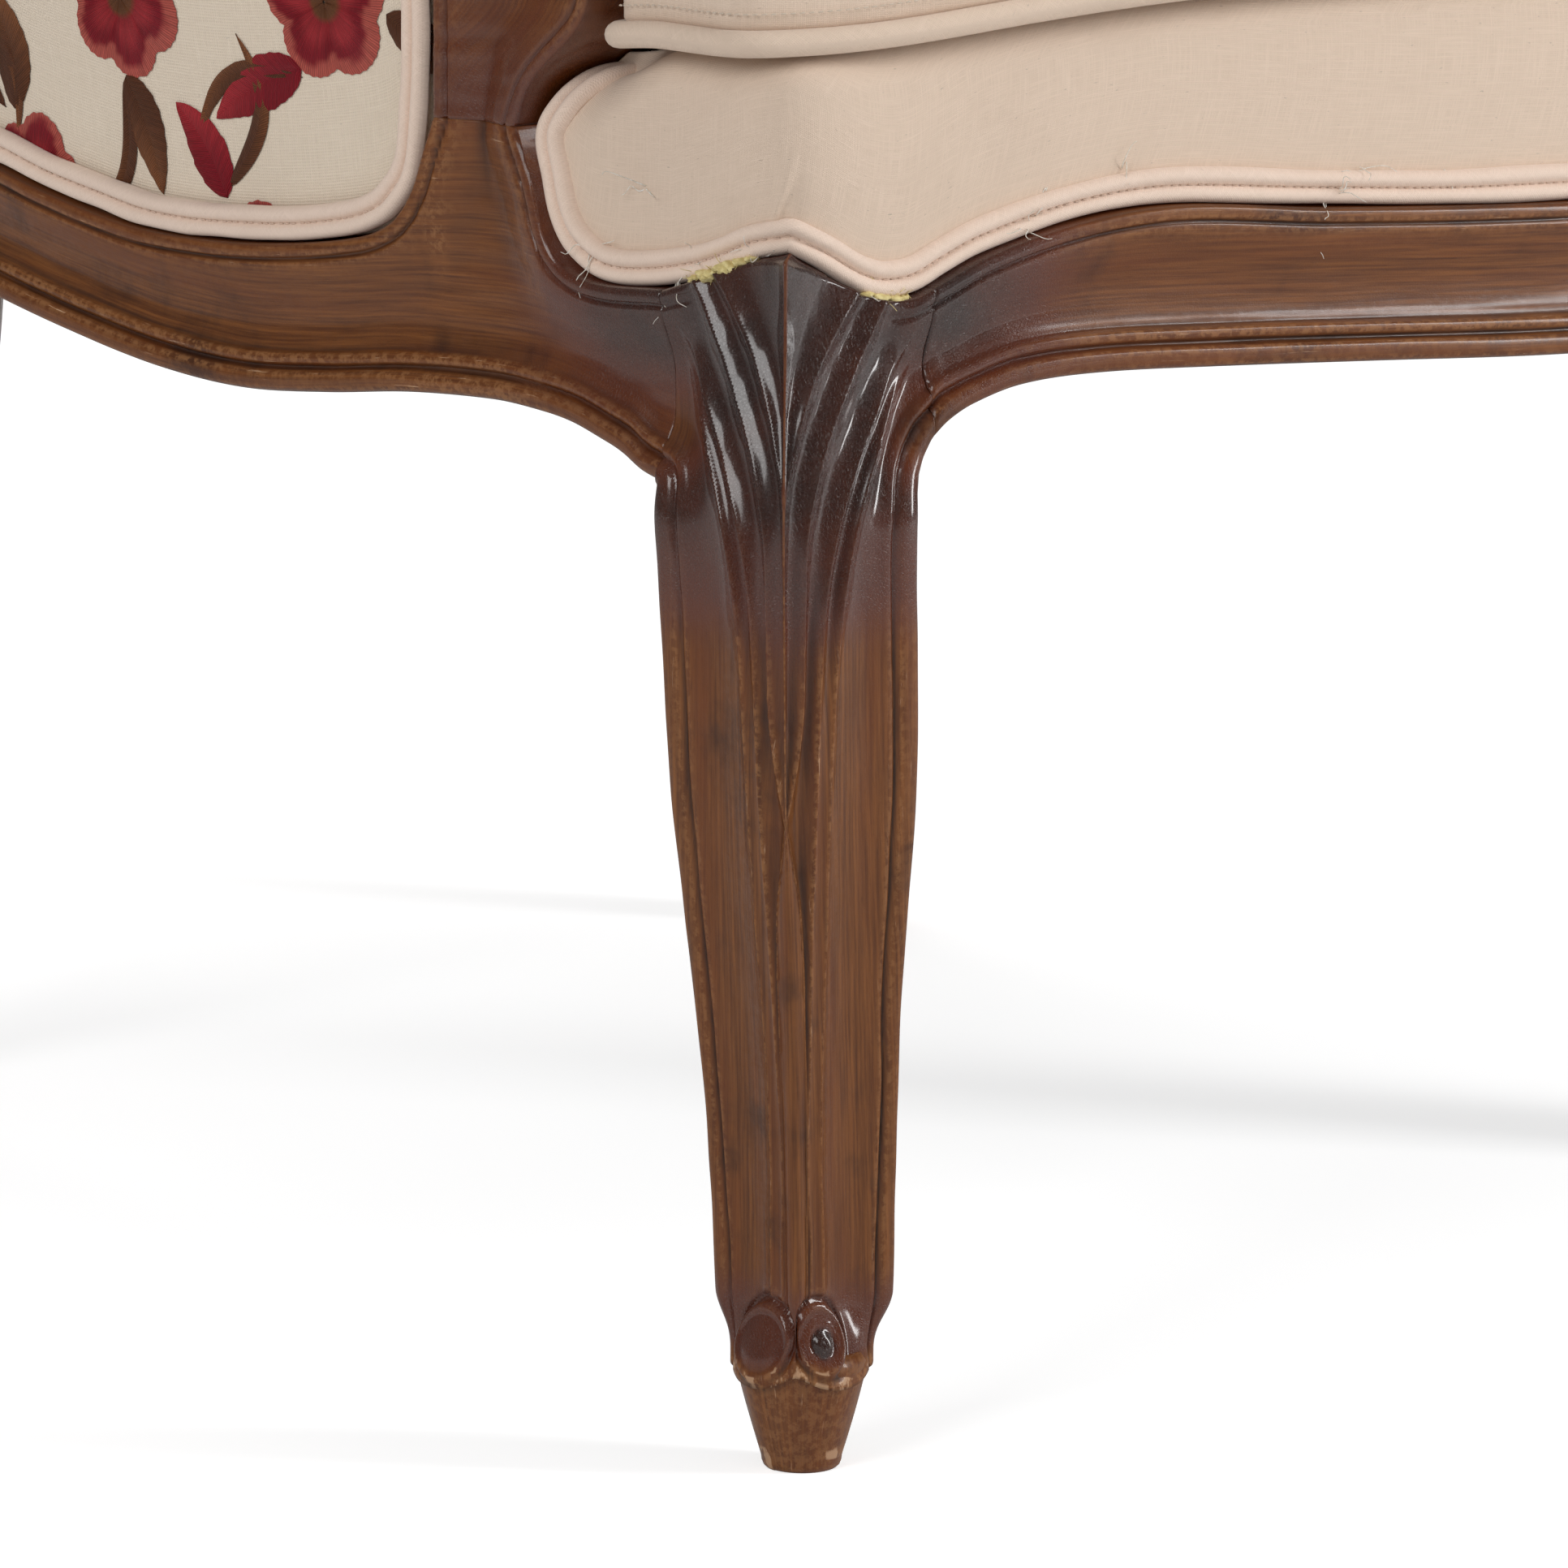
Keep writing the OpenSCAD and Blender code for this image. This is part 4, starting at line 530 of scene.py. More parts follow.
def front_leg(mirror):
    """Points, faces and fields of one leg: rings of the square section with its two carved
    faces, lifted at the top to the show line, then the neck under the deck's cloth."""
    rows = np.concatenate([np.linspace(LEG_LOW, LEG_HIGH, SPAN_ROWS),
                           LEG_HIGH + np.arange(1, TOP_ROWS + 1) / TOP_ROWS])
    s = np.linspace(0, 1, FACE_COLS)**1.12
    s = np.concatenate([-s[::-1], s[1:]])
    front = s > 0
    lift = np.clip(rows - LEG_HIGH, 0, 1)[:, None]
    z = np.minimum(rows, LEG_HIGH)[:, None] * np.ones_like(s)
    for _ in range(4):
        c = np.clip(np.abs(s) * leg_wide(z, front) - leg_out(z), 0, BLOCK) * np.sign(s)
        z = np.where(lift > 0, mix(LEG_HIGH, deck_line(c), lift), z)
    k, w = leg_out(z), leg_wide(z, front)
    p = np.abs(s) * w
    depth = np.where(front, leg_depth(p, z, True), leg_depth(p, z, False))
    sharp = mix(3.2, 0.7, ease(z, 120, 190))
    sw = s * w
    gx, gy = (sw + np.hypot(sw, sharp)) / 2, (-sw + np.hypot(sw, sharp)) / 2
    # The block's faces follow the bow and the side's swell where the rails meet them
    into = ease(z, 250, 274) * ease(p, 18, 46)
    x_mm = p - k - HALF_CORNER
    swell_a = BOW * np.cos(np.pi / 2 * np.clip(x_mm, -HALF_CORNER, 0) / HALF_CORNER)**2
    swell_b = np.sin(np.pi / 2 * np.clip(p - k, 0, BLOCK) / SIDE_RUN)**2
    swell_b = swell_b * (HALF_TUB - HALF_CORNER)
    out_a, out_b = mix(0, swell_a - k, into), mix(0, swell_b - k, into)
    x = CORNER[0] - k + gx - np.where(front, 0, out_b)
    y = CORNER[1] - k + gy - np.where(front, out_a, 0)
    lean_a, lean_b = 0.5 + 0.5 * np.tanh(sw), 0.5 - 0.5 * np.tanh(sw)
    towards = np.stack([FOOT[0] - x, FOOT[1] - y], -1)
    reach = np.linalg.norm(towards, axis=-1, keepdims=True)
    round_ = ease(-z, -46, -29)[..., None]
    base = mix(np.stack([x, y], -1), FOOT - towards / reach * FOOT_R, round_)
    inward = mix(np.stack([lean_b, lean_a], -1), towards / reach, round_)
    free = 1 - ease(p, 36, 46) * ease(z, 246, 262)
    depth = depth + free * (0.14 * wobble(p, z / 2, seed=3, size=5.0)
                            + 0.025 * wobble(p, z / 4, seed=5, size=1.1))
    base = base + inward * depth[..., None]
    low = (bow_low(p) - LEG_LOW) * ease(-z, -44, -27)
    outer = np.concatenate([base, (z + low)[..., None]], -1)
    # Inner sides, from each face's edge to the back corner
    ends = outer[:, [-1, 0]]
    hub = np.stack([CORNER[0] - k[:, 0] + w[:, -1], CORNER[1] - k[:, 0] + w[:, 0]], -1)
    hub = mix(hub, FOOT + FOOT_R * 2**-0.5, round_[:, 0])
    inner = []
    shares = (0.25, 0.5, 0.75, 0.93)
    for end, share in [(0, v) for v in shares] + [(1, v) for v in shares[::-1]]:
        q = mix(ends[:, end, :2], hub, share)
        q = mix(q, FOOT - unit(FOOT - q) * FOOT_R, round_[:, 0])
        inner.append(np.concatenate([q, ends[:, end, 2:]], -1))
    ring = np.concatenate([outer, np.stack(inner, 1)], 1)
    cols = ring.shape[1]
    # Ledge and neck above the show wood
    top = ring[-1]
    q = top[:, :2] - CORNER
    e = np.maximum(REBATE, REBATE + q * (1 - REBATE / BLOCK))
    curved = (e < CORNER_R).all(-1, keepdims=True)
    r = np.where(curved, CORNER_R + (CORNER_R - REBATE) * unit(e - CORNER_R), e)
    neck = np.concatenate([r + CORNER, top[:, 2:] + 0.4], -1)
    lid = np.concatenate([r + CORNER, np.full((cols, 1), LEDGE)], -1)
    rim = ring[0].copy()
    rim[:, :2] = mix(rim[:, :2], FOOT, 0.09)
    rim[:, 2] += 0.9
    rim_in = rim.copy()
    rim_in[:, :2] = mix(rim[:, :2], FOOT, 0.5)
    rim_in[:, 2] = 31
    pts = np.concatenate([rim_in[None], rim[None], ring, neck[None], lid[None]])
    # Fields: hollows and worn edges from the carving's own relief
    relief = (depth - blurred(depth, 3, 5)) * mix(0.3, 1, free)
    hollow = np.clip(relief / 0.55, 0, 1)
    worn = np.clip(-relief / 0.35, 0, 1)
    arris = bell(sw, 0.9) * ease(z, 150, 200)
    worn = np.clip(worn + 0.9 * arris, 0, 1) * mix(1, 0.45, ease(z, 240, 300))
    eye = (1 - ease(np.hypot(p - EYE_P, z - EYE_Z), 2.6, 3.4)) * front
    glaze = ease(z + 9 * wobble(p, z, seed=8, size=14.0), 196, 266)
    glaze = glaze * mix(0.93, 1.0, ease(p, 30, 40)) * (1 - 0.75 * arris) + 0.9 * eye
    glaze = np.clip(glaze + 0.55 * ease(-z, -58, -40) * ease(z, 28, 34), 0, 1)
    glaze = mix(0.80 * ease(z, 268, 302) + 0.10, glaze, 1 - ease(p, 28, 47) * ease(z, 250, 275))
    hollow = np.clip(hollow + 0.5 * (depth > 1.5) * ease(z, 200, 260), 0, 1)
    worn = np.clip(worn + ease(-z, -31, -26), 0, 1)
    field = np.stack([hollow, worn, glaze], -1)
    back = len(inner)
    field = np.concatenate([field, np.repeat(field[:, -1:] * [0, 0.4, 0.8], back, 1)], 1)
    across = np.concatenate([sw, w[:, -1:] + np.arange(1, back + 1) * 8], 1)
    field, across = [np.concatenate([v[:1], v[:1], v, v[-1:], v[-1:]]) for v in (field, across)]
    chart = np.stack([pts[..., 2], across + 400 * mirror, np.zeros_like(across)], -1) * mm
    return pts, tube_faces(len(pts), cols), chart, field


def lathe(profile, centre, sides):
    """Points and faces of a turned shape: [radius, height] rows round an upright axis."""
    r, h = np.array(profile, float).T
    a = np.linspace(0, 2 * np.pi, sides, endpoint=False)
    pts = np.stack([centre[0] + r[:, None] * np.cos(a), centre[1] + r[:, None] * np.sin(a),
                    h[:, None] + 0 * a], -1)
    return pts, tube_faces(len(r), sides)


def joined(*solids):
    """One set of points and faces from several."""
    pts, faces, n = [], [], 0
    for p, f in solids:
        p = np.asarray(p).reshape(-1, 3)
        faces += [[i + n for i in g] for g in f]
        pts.append(p)
        n += len(p)
    return np.concatenate(pts), faces


peg_rows = [[7.5, 0], [9.2, 0.05], [9.9, 0.7], [10.35, 1.8]] + [
    [mix(10.5, 17.0, u) + 0.25 * np.sin(3 * u), 3 + 24 * u] for u in np.linspace(0, 1, 40)] + [
    [17.2, 29], [16.0, 31.5]]
for mirror, label in SIDES:
    leg_pts, leg_faces, leg_chart, leg_field = front_leg(mirror)
    peg_pts, peg_faces = lathe(peg_rows, FOOT, 96)
    a = np.arctan2(peg_pts[..., 1] - FOOT[1], peg_pts[..., 0] - FOOT[0])
    peg_pts[..., :2] += 0.12 * wobble(6 * a, peg_pts[..., 2], seed=11, size=3.0)[..., None]
    hz = peg_pts[..., 2]
    chips = ease(wobble(5 * a, hz, seed=17, size=4.0), 0.5, 1.0)
    bare = np.clip(ease(-hz, -9, 0) * chips + ease(hz, 20, 28) * chips + 0.62, 0, 1)
    peg_field = np.stack([0 * a, bare, 0.1 + 0 * a], -1)
    peg_chart = np.stack([hz, 17 * a, 60 + 0 * a], -1) * mm
    points, faces = joined((leg_pts, leg_faces), (peg_pts, peg_faces))
    leg = piece(f"front_leg_{label}_carved", points, faces, walnut, mirror=mirror,
                chart=np.concatenate([leg_chart.reshape(-1, 3), peg_chart.reshape(-1, 3)]),
                finish=np.concatenate([leg_field.reshape(-1, 3), peg_field.reshape(-1, 3)]))
    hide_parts(f"front_leg_{label}")

# ---------------------------------------------------------------------------------------
# Seat rails: walnut, sawn to their curves and moulded with a bead, a cove and a fillet.
# Each butts against the leg's block on two dowels. The side rails rise to the ledge below
# the arm posts, and a rebate above the show line takes the covers.
POST_BACK = 0.4295
BLOCK_T = BLOCK / SIDE_RUN
STILE, STILE_W, FRAME_IN = 1.6, 44.0, 42.0
STILE_0, STILE_1 = STILE - STILE_W / 2 / BACK_ARC, STILE + STILE_W / 2 / BACK_ARC
ARM_Z, CREST_Z = 642.0, 915.0
RAIL_T, LIP_T, WEB_Z = 34.0, 14.0, 288.0
post_edge_share = curve([[0, 0.333], [0.03, 0.321], [0.05, 0.305], [0.095, 0.256],
                         [0.135, 0.243], [0.29, 0.236], [0.46, 0.256], [0.66, 0.31],
                         [0.88, 0.328], [1, 0.328]])


def post_edge(z):
    """Station of the arm post's front edge by height."""
    return post_edge_share((z - LEDGE) / (ARM_Z - LEDGE))


def half_t(t):
    """The same station counted on the left half."""
    return np.minimum(t, 4 - t)


def plan_out(t):
    """Plan of the wall and its outward direction at stations of either half."""
    h = half_t(t)
    a = np.pi / 2 * h
    b = np.pi / 2 * (2 - h)
    side = h <= 1
    x = np.where(side, -HALF_CORNER - (HALF_TUB - HALF_CORNER) * np.sin(a)**2,
                 -HALF_TUB * np.sin(b))
    y = np.where(side, CORNER[1] + SIDE_RUN * h, WIDEST_Y + BACK_RUN * np.cos(b))
    nx = np.where(side, -1.0, -BACK_RUN * np.sin(b))
    ny = np.where(side, 0.0, HALF_TUB * np.cos(b))
    size = np.hypot(nx, ny)
    turn = np.where(t > 2, -1.0, 1.0)
    return np.stack([x * turn, y], -1), np.stack([nx / size * turn, ny / size], -1)


def wall(t, z, off):
    """Points of the tub's wall at a station, a height and a distance outwards. Above the
    ledge it leans by an angle that eases from 3.5 degrees at the arms to 8 at the back."""
    t, z, off = np.broadcast_arrays(np.asarray(t, float), z, off)
    at, out = plan_out(t)
    lean = np.radians(mix(3.5, 8.0, ease((half_t(t) - 0.6) / 1.4)))
    reach = off + np.maximum(0, z - LEDGE) * np.tan(lean)
    return np.concatenate([at + out * reach[..., None], z[..., None]], -1)


def run_of(t):
    """Distance along the wall from the front corner, in millimetres."""
    h = half_t(t)
    return np.where(h <= 1, SIDE_RUN * h, SIDE_RUN + (h - 1) * BACK_ARC)


def front_y(x):
    """Plan of the front rail: a bow by a squared cosine."""
    share = np.clip(x, -HALF_CORNER, HALF_CORNER) / HALF_CORNER
    return CORNER[1] - BOW * np.cos(np.pi / 2 * share)**2


post_zs = np.linspace(LEDGE, ARM_Z, 70)
front_ts = np.linspace(0.0, 0.31, 50)
front_edge = np.concatenate([
    np.stack([front_ts * SIDE_RUN, ARCH + SHOW * side_line(front_ts)], -1),
    np.stack([post_edge(post_zs) * SIDE_RUN, post_zs], -1)])
back_ts = np.linspace(0.44, 2, 130)
back_edge = np.concatenate([
    np.stack([0 * post_zs + POST_BACK * SIDE_RUN, post_zs], -1)[::-1],
    np.stack([run_of(back_ts), ARCH + SHOW * side_line(back_ts)], -1)])


def side_depth(t, z):
    """Depth of the moulding of the side and back rails and the posts."""
    s = run_of(t)
    low = ARCH + SHOW * side_low(half_t(t))
    slope = SHOW * (side_low(half_t(t) + 0.01) - side_low(half_t(t) - 0.01)) / (
        run_of(half_t(t) + 0.01) - run_of(half_t(t) - 0.01))
    d = (z - low) / np.sqrt(1 + slope**2)
    top = np.minimum(distance_to(front_edge, s, z), distance_to(back_edge, s, z))
    depth = np.minimum(low_depth(np.maximum(d, 0)), line_depth(top))
    sweep_in = 2.5 * ease(z, 330, 385)
    return depth + 0.07 * wobble(s / 6, z, seed=21, size=2.0) + sweep_in


def wood_fields(depth, shade):
    """Hollow and worn shares of a carved surface from its own relief, and its dark share as given:
    glaze on the rails, painted shade on the arm posts' lower ends.
    """
    relief = depth - blurred(depth, 3, 4)
    return np.stack([np.clip(relief / 0.5, 0, 1), np.clip(-relief / 0.4, 0, 1),
                     np.broadcast_to(shade, depth.shape)], -1)


def moulded(name, points, along, shade, depth, mirror=False):
    """A wooden piece from rings of points, whose first columns are the moulded face, cut
    by `depth`. Its chart runs along the timber and round its section."""
    outer = depth.shape[1]
    field = np.zeros(points.shape)
    field[:, :outer] = wood_fields(depth, shade)
    field[:, outer:, 1] = 0.15
    field[:, outer:, 2] = np.max(shade) * 0.3 + 0.2
    girth = np.cumsum(np.linalg.norm(np.diff(points, axis=1, append=points[:, :1]), axis=-1), 1)
    chart = np.stack([np.broadcast_to(along[:, None], girth.shape), girth, 0 * girth], -1) * mm
    made = piece(name, points, tube_faces(*points.shape[:2]), walnut, mirror=mirror,
                 chart=chart, finish=field)
    return made


def rail_points(place, low, line, depth_of):
    """Rings of a seat rail: the moulded face from the lower edge to the show line, then
    the rebate, the ledge, the inner side and the lip."""
    v = np.linspace(0, 1, 92)
    v = ease(v) * 0.35 + v * 0.65
    z = low[:, None] + (line - low)[:, None] * v
    depth = depth_of(z)
    outer = place(z, -depth)
    flat = 0 * low
    tail = [place((flat + h)[:, None], off + flat[:, None]) for off, h in (
        (-REBATE, line), (-REBATE, LEDGE), (-RAIL_T, LEDGE), (-RAIL_T, WEB_Z), (-LIP_T, WEB_Z),
        (-LIP_T, low + 2.5), (-LIP_T + 1.5, low + 0.6), (-4.0, low - 0.1))]
    return np.concatenate([outer] + tail, 1), depth, z


def wall_rail(ts, line):
    """Rings, depth and heights of a rail that follows the wall, up to a show line."""
    return rail_points(lambda h, off: wall(ts[:, None], h, off),
                       ARCH + SHOW * side_low(half_t(ts)), line,
                       lambda h: side_depth(ts[:, None], h))


side_ts = np.concatenate([np.linspace(BLOCK_T, 1, 230)[:-1], np.linspace(1, STILE_0, 230)])
line = ARCH + SHOW * side_line(side_ts)
line = np.minimum(line + 1.7 * ease(line, 338, 343.3), LEDGE - 0.02)
side_pts, depth, z = wall_rail(side_ts, line)
s = run_of(side_ts)
shade = (0.78 * ease(-s, -118, -56)[:, None] * ease(z, 262, 300) + 0.10
         + 0.2 * ease(-z, -274, -262))
for mirror, label in SIDES:
    rail = moulded(f"side_rail_{label}_moulded", side_pts, s, shade, depth, mirror)
    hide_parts(f"side_rail_{label}")
ts = np.linspace(STILE_1, 4 - STILE_1, 260)
line = np.minimum(ARCH + SHOW * side_line(half_t(ts)), LEDGE - 1)
back_pts, depth, z = wall_rail(ts, line)
rail = moulded("back_rail_moulded", back_pts, (ts - 1) * BACK_ARC + SIDE_RUN,
               0 * depth + 0.15, depth)
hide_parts("back_rail")

front_x = np.linspace(BLOCK - HALF_CORNER, HALF_CORNER - BLOCK, 430)
share = 1 - np.abs(front_x) / HALF_CORNER
low, line = ARCH + SHOW * front_low(share), ARCH + SHOW * front_line(share)


def front_depth(h):
    """Depth of the front rail's moulding by height, measured square to its edges."""
    under = np.gradient(low, front_x)[:, None]
    over = np.gradient(line, front_x)[:, None]
    depth = np.minimum(low_depth(np.maximum(h - low[:, None], 0) / np.sqrt(1 + under**2)),
                       line_depth(np.maximum(line[:, None] - h, 0) / np.sqrt(1 + over**2)))
    return depth + 0.07 * wobble(front_x[:, None] / 6, h, seed=22, size=2.0)


def front_place(h, off):
    """Points of the front rail at a height and a distance outwards."""
    h, off = np.broadcast_arrays(h, off)
    x = np.broadcast_to(front_x[:, None], h.shape)
    return np.stack([x, front_y(x) - off, h], -1)


front_pts, depth, z = rail_points(front_place, low, line, front_depth)
c = share * HALF_CORNER
shade = 0.80 * ease(-c, -112, -52)[:, None] * ease(z, 268, 302) + 0.10 + 0 * z
rail = moulded("front_rail_moulded", front_pts, front_x, shade, depth)
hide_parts("front_rail")

# ---------------------------------------------------------------------------------------
# Arm posts: walnut, dowelled on the side rails. The moulding of the rail runs up both
# edges of the post, and its front edge swings forward beside the cushion.
top_share = curve([[0.3, -0.11], [0.45, -0.06], [0.8, -0.04], [1.05, 0.05], [1.3, 0.38],
                   [1.5, 0.70], [1.7, 0.87], [2, 0.938]])
TOP_H, SCROLL_MOST, ARM_T, RAIL_OUT = 34.0, 1.25, 0.3148, 4.0


def top_mid(t):
    """Height of the middle of the arm and crest rails."""
    return mix(ARM_Z, CREST_Z, top_share(half_t(t)))


def top_slope(t):
    """Rise of the arm and crest rails along the wall."""
    return (top_mid(t + 0.02) - top_mid(t - 0.02)) / (0.04 * BACK_ARC)


def top_half(t):
    """Half the upright height of the arm and crest rails' section."""
    return TOP_H / 2 * np.sqrt(1 + top_slope(t)**2)


post_rows = np.linspace(0, 1, 300)[:, None]
across = np.linspace(0, 1, 64)[None, :]
under = (top_mid(POST_BACK) - SCROLL_MOST * top_half(POST_BACK)) - 0.3
z = LEDGE + (under - LEDGE) * post_rows + 0 * across
t = mix(post_edge(z), POST_BACK, across)
depth = side_depth(t, z)
outer = wall(t, z, -depth)
t0, t1, zc = t[:, :1], t[:, -1:], z[:, :1]
inner = [wall(b, zc, off + 0 * zc) for b, off in (
    (t1, -12), (t1, -24), (t1, -36), (t1 - 0.016, -FRAME_IN), (mix(t0, t1, 0.5), -FRAME_IN),
    (t0 + 0.02, -FRAME_IN), (t0 + 0.003, -37), (t0, -30), (t0, -20), (t0, -11))]
post = np.concatenate([outer] + inner, 1)
# The posts are darker towards their feet, from 400 mm down to the ledge beside the cushion: painted
# shade, carried in the dark share.
for mirror, label in SIDES:
    made = moulded(f"arm_post_{label}_moulded", post, z[:, 0],
                   0.12 + 0.35 * ease(-z, -400, -345), depth, mirror)
    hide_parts(f"arm_post_{label}")

# ---------------------------------------------------------------------------------------
# Arm and crest rails: walnut with a rounded section that stays upright as it climbs, and
# a pair of beads along the outer face. The arms end in scrolls, carved with a volute.
scroll = curve([[0, 0.45], [0.02, 0.95], [0.06, SCROLL_MOST], [0.11, 1.2], [0.16, 1.0]])


def top_rail(ts, size, volute=False):
    """Rings of an arm or crest rail: a squarish oval, the outer side cut by grooves."""
    a = np.linspace(0, 2 * np.pi, 96, endpoint=False)[None, :]
    ts = ts[:, None]
    mid, half = (RAIL_OUT - FRAME_IN) / 2, (RAIL_OUT + FRAME_IN) / 2
    up = np.sign(np.sin(a)) * np.abs(np.sin(a))**0.72
    way = np.sign(np.cos(a)) * np.abs(np.cos(a))**0.62
    outer = ease(np.cos(a), 0.05, 0.5)
    depth = outer * (1.3 * bell(up - 0.48, 0.07) + 1.3 * bell(up + 0.48, 0.07)
                     + 1.5 * ease(1 - np.abs(up) / 0.42, 0, 0.8)) + 0 * ts
    if volute:
        s = (ts - ARM_T) * SIDE_RUN
        zz = up * size[:, None] * TOP_H / 2
        r, turn = np.hypot(s - 17, zz), np.arctan2(zz, s - 17)
        coil = (r - 5.5 * turn / (2 * np.pi)) % 5.5
        spiral = 1.5 * bell(coil - 2.7, 0.8) * ease(-r, -17, -14) + 1.2 * ease(-r, -3.4, -1)
        near = ease(-s, -44, -30)
        depth = depth * (1 - near) + outer * spiral * near
    z = top_mid(ts) + up * size[:, None] * top_half(ts)
    return wall(ts, z, mid + way * half - depth), depth


lead = np.linspace(0, 1, 26)[:-1]
ts = np.concatenate([ARM_T + 0.02 * lead**1.6,
                     ARM_T + 0.02 + 0.14 * np.linspace(0, 1, 60)[:-1],
                     np.linspace(ARM_T + 0.16, STILE_0, 300)])
size = scroll(ts - ARM_T)
size[:len(lead)] = np.minimum(size[:len(lead)], np.sqrt(1 - (1 - lead)**2) + 0.05)
points, depth = top_rail(ts, size, volute=True)
for mirror, label in SIDES:
    made = moulded(f"arm_rail_{label}_moulded", points, run_of(ts), 0 * depth + 0.18, depth,
                   mirror)
    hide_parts(f"arm_rail_{label}")
ts = np.linspace(STILE_1, 4 - STILE_1, 330)
points, depth = top_rail(ts, np.ones_like(ts))
made = moulded("crest_rail_moulded", points, (ts - 1) * BACK_ARC, 0 * depth + 0.18, depth)
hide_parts("crest_rail")

# ---------------------------------------------------------------------------------------
# Back legs: each is one walnut timber with its stile. It leans with the wall, splays below
# the rail to a small round toe, and has a shallow cove between two beads on its back.
TOE_W, TOE_DRAW, SPLAY, TOE_H = 25.0, 3.0, 44.0, 14.0
HEAD_ROWS = 25


def back_leg():
    """Rings of the back leg: a square section that narrows to the toe, rounded corners,
    and on its outer face a cove between beads, by the distance to the face's edges."""
    top = top_mid(STILE_0) - top_half(STILE_0)
    z = np.concatenate([np.linspace(TOE_H, ARCH, 170), np.linspace(ARCH, top, 240)[1:]])
    z = z[:, None]
    u = ease(z / ARCH * 1.1)
    half = mix(TOE_W, STILE_W, u) / 2
    o = SPLAY * ((ARCH - np.minimum(ARCH, z)) / ARCH)**1.7 - (1 - u) * TOE_DRAW
    deep = mix(TOE_W, FRAME_IN, u)
    b = np.linspace(-1, 1, 60)[None, :]
    d = (1 - np.abs(b)) * half
    depth = curve([[0, 3.2], [0.4, 1.8], [1.2, 0.7], [2.6, 0.2], [4, 0.5], [5, 1.5], [5.6, 1.2],
                   [8, 1.4], [12, 1.7], [22, 1.8]])(d)
    depth = depth + 0.06 * wobble(z / 5, d, seed=31, size=2.0)
    outer = wall(STILE + b * half / BACK_ARC, z + 0 * b, o - depth)
    square = ease(z, 268, 300)
    inside = ((1, 0.3, 1, 0.35), (0.94, 0.55, 1, 0.7), (0.74, 0.76, 1, 0.93),
              (0.42, 0.90, 0.9, 1), (0, 0.95, 0, 1), (-0.42, 0.90, -0.9, 1),
              (-0.74, 0.76, -1, 0.93), (-0.94, 0.55, -1, 0.7), (-1, 0.3, -1, 0.35))
    rest = [wall(STILE + mix(q0, q1, square) * half / BACK_ARC, z,
                 o - mix(e0, e1, square) * deep) for q0, e0, q1, e1 in inside]
    ring = np.concatenate([outer] + rest, 1)
    lift = np.linspace(0, 1, HEAD_ROWS + 1)[1:, None, None]
    last = ring[-1:]
    st = STILE + np.concatenate([b[0], [q1 for _, _, q1, _ in inside]]) * STILE_W / 2 / BACK_ARC
    head = wall(st, top_mid(st) + top_half(st), 0.0)
    head[:, :2] += last[0, :, :2] - wall(st, top + 0 * st, 0.0)[:, :2]
    ring = np.concatenate([ring, mix(last, head[None], lift)])
    return ring, np.concatenate([depth, np.repeat(depth[-1:], HEAD_ROWS, 0)])


ring, depth = back_leg()
toe_out = SPLAY * ((ARCH - TOE_H) / ARCH)**1.7 - TOE_DRAW * (1 - ease(TOE_H / ARCH)) - TOE_W / 2
toe_at = wall(STILE, TOE_H, toe_out)[:2]
toe, toe_faces = lathe([[9.8, 0], [10.8, 0.4], [11, 1.5], [11.3, 4], [12.3, 9], [12.5, 13],
                        [11.5, 16]], toe_at, 64)
a = np.arctan2(toe[..., 1] - toe_at[1], toe[..., 0] - toe_at[0])
for mirror, label in SIDES:
    made = moulded(f"back_leg_{label}_moulded", ring, ring[:, 0, 2], 0 * depth + 0.12, depth,
                   mirror)
    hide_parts(f"back_leg_{label}")
    turned = piece(f"back_toe_{label}", toe, toe_faces, walnut, mirror=mirror,
                   chart=np.stack([toe[..., 2], 12 * a, 0 * a], -1) * mm,
                   finish=np.stack([0 * a, 0.5 + 0 * a, 0.1 + 0 * a], -1))

# ---------------------------------------------------------------------------------------
# Hidden timber, metal and jute: beech dowels, corner blocks and tack rails, steel screws,
# springs and tacks, and woven jute. These keep the shapes they have in the frame.
def cloth_material(name, pale, dark, pitch, fleck=0.35, bump=0.5, thread=(0.62, 0.52, 0.42)):
    """Plain-woven cloth on the point field `chart`, with slubs, flecks and a bump of its
    threads. Where the field `mark` is 1 it takes the colour of the sewing thread."""
    node, link, noise, bands, span, times, blend, bumped, surface = shading(name)
    chart = node("ShaderNodeAttribute", attribute_name="chart").outputs["Vector"]
    mark = node("ShaderNodeAttribute", attribute_name="mark").outputs["Fac"]
    place = node("ShaderNodeTexCoord").outputs["Object"]
    weave = times(bands(chart, "X", pitch, 1.1), bands(chart, "Y", pitch, 1.1), "MAXIMUM")
    slub = times(noise(chart, (70, 2200, 90), 3, 0.6), noise(chart, (2200, 70, 90), 3, 0.6),
                 "MAXIMUM")
    specks = noise(chart, (420, 1300, 420), 2, 0.5)
    soil = noise(place, (26, 26, 26), 4, 0.6)
    colour = blend(dark, pale, span(slub, 0.30, 0.72, 0.25, 1.0))
    for shade, share in ((0.6, times(span(weave, 0.25, 0.75, 1.0, 0.0), 0.1)),
                         (0.25, times(span(specks, 0.70, 0.76), fleck)),
                         (0.80, times(span(soil, 0.5, 0.8), 0.2))):
        colour = blend(colour, tuple(shade * c for c in dark), share)
    return surface(
        Base_Color=blend(colour, thread, mark), Roughness=0.9, Sheen_Weight=0.18,
        Sheen_Roughness=0.5, Specular_IOR_Level=0.25,
        Normal=bumped(times(weave, span(slub, 0.3, 0.7, 0.55, 1.0)), bump, 0.00025))


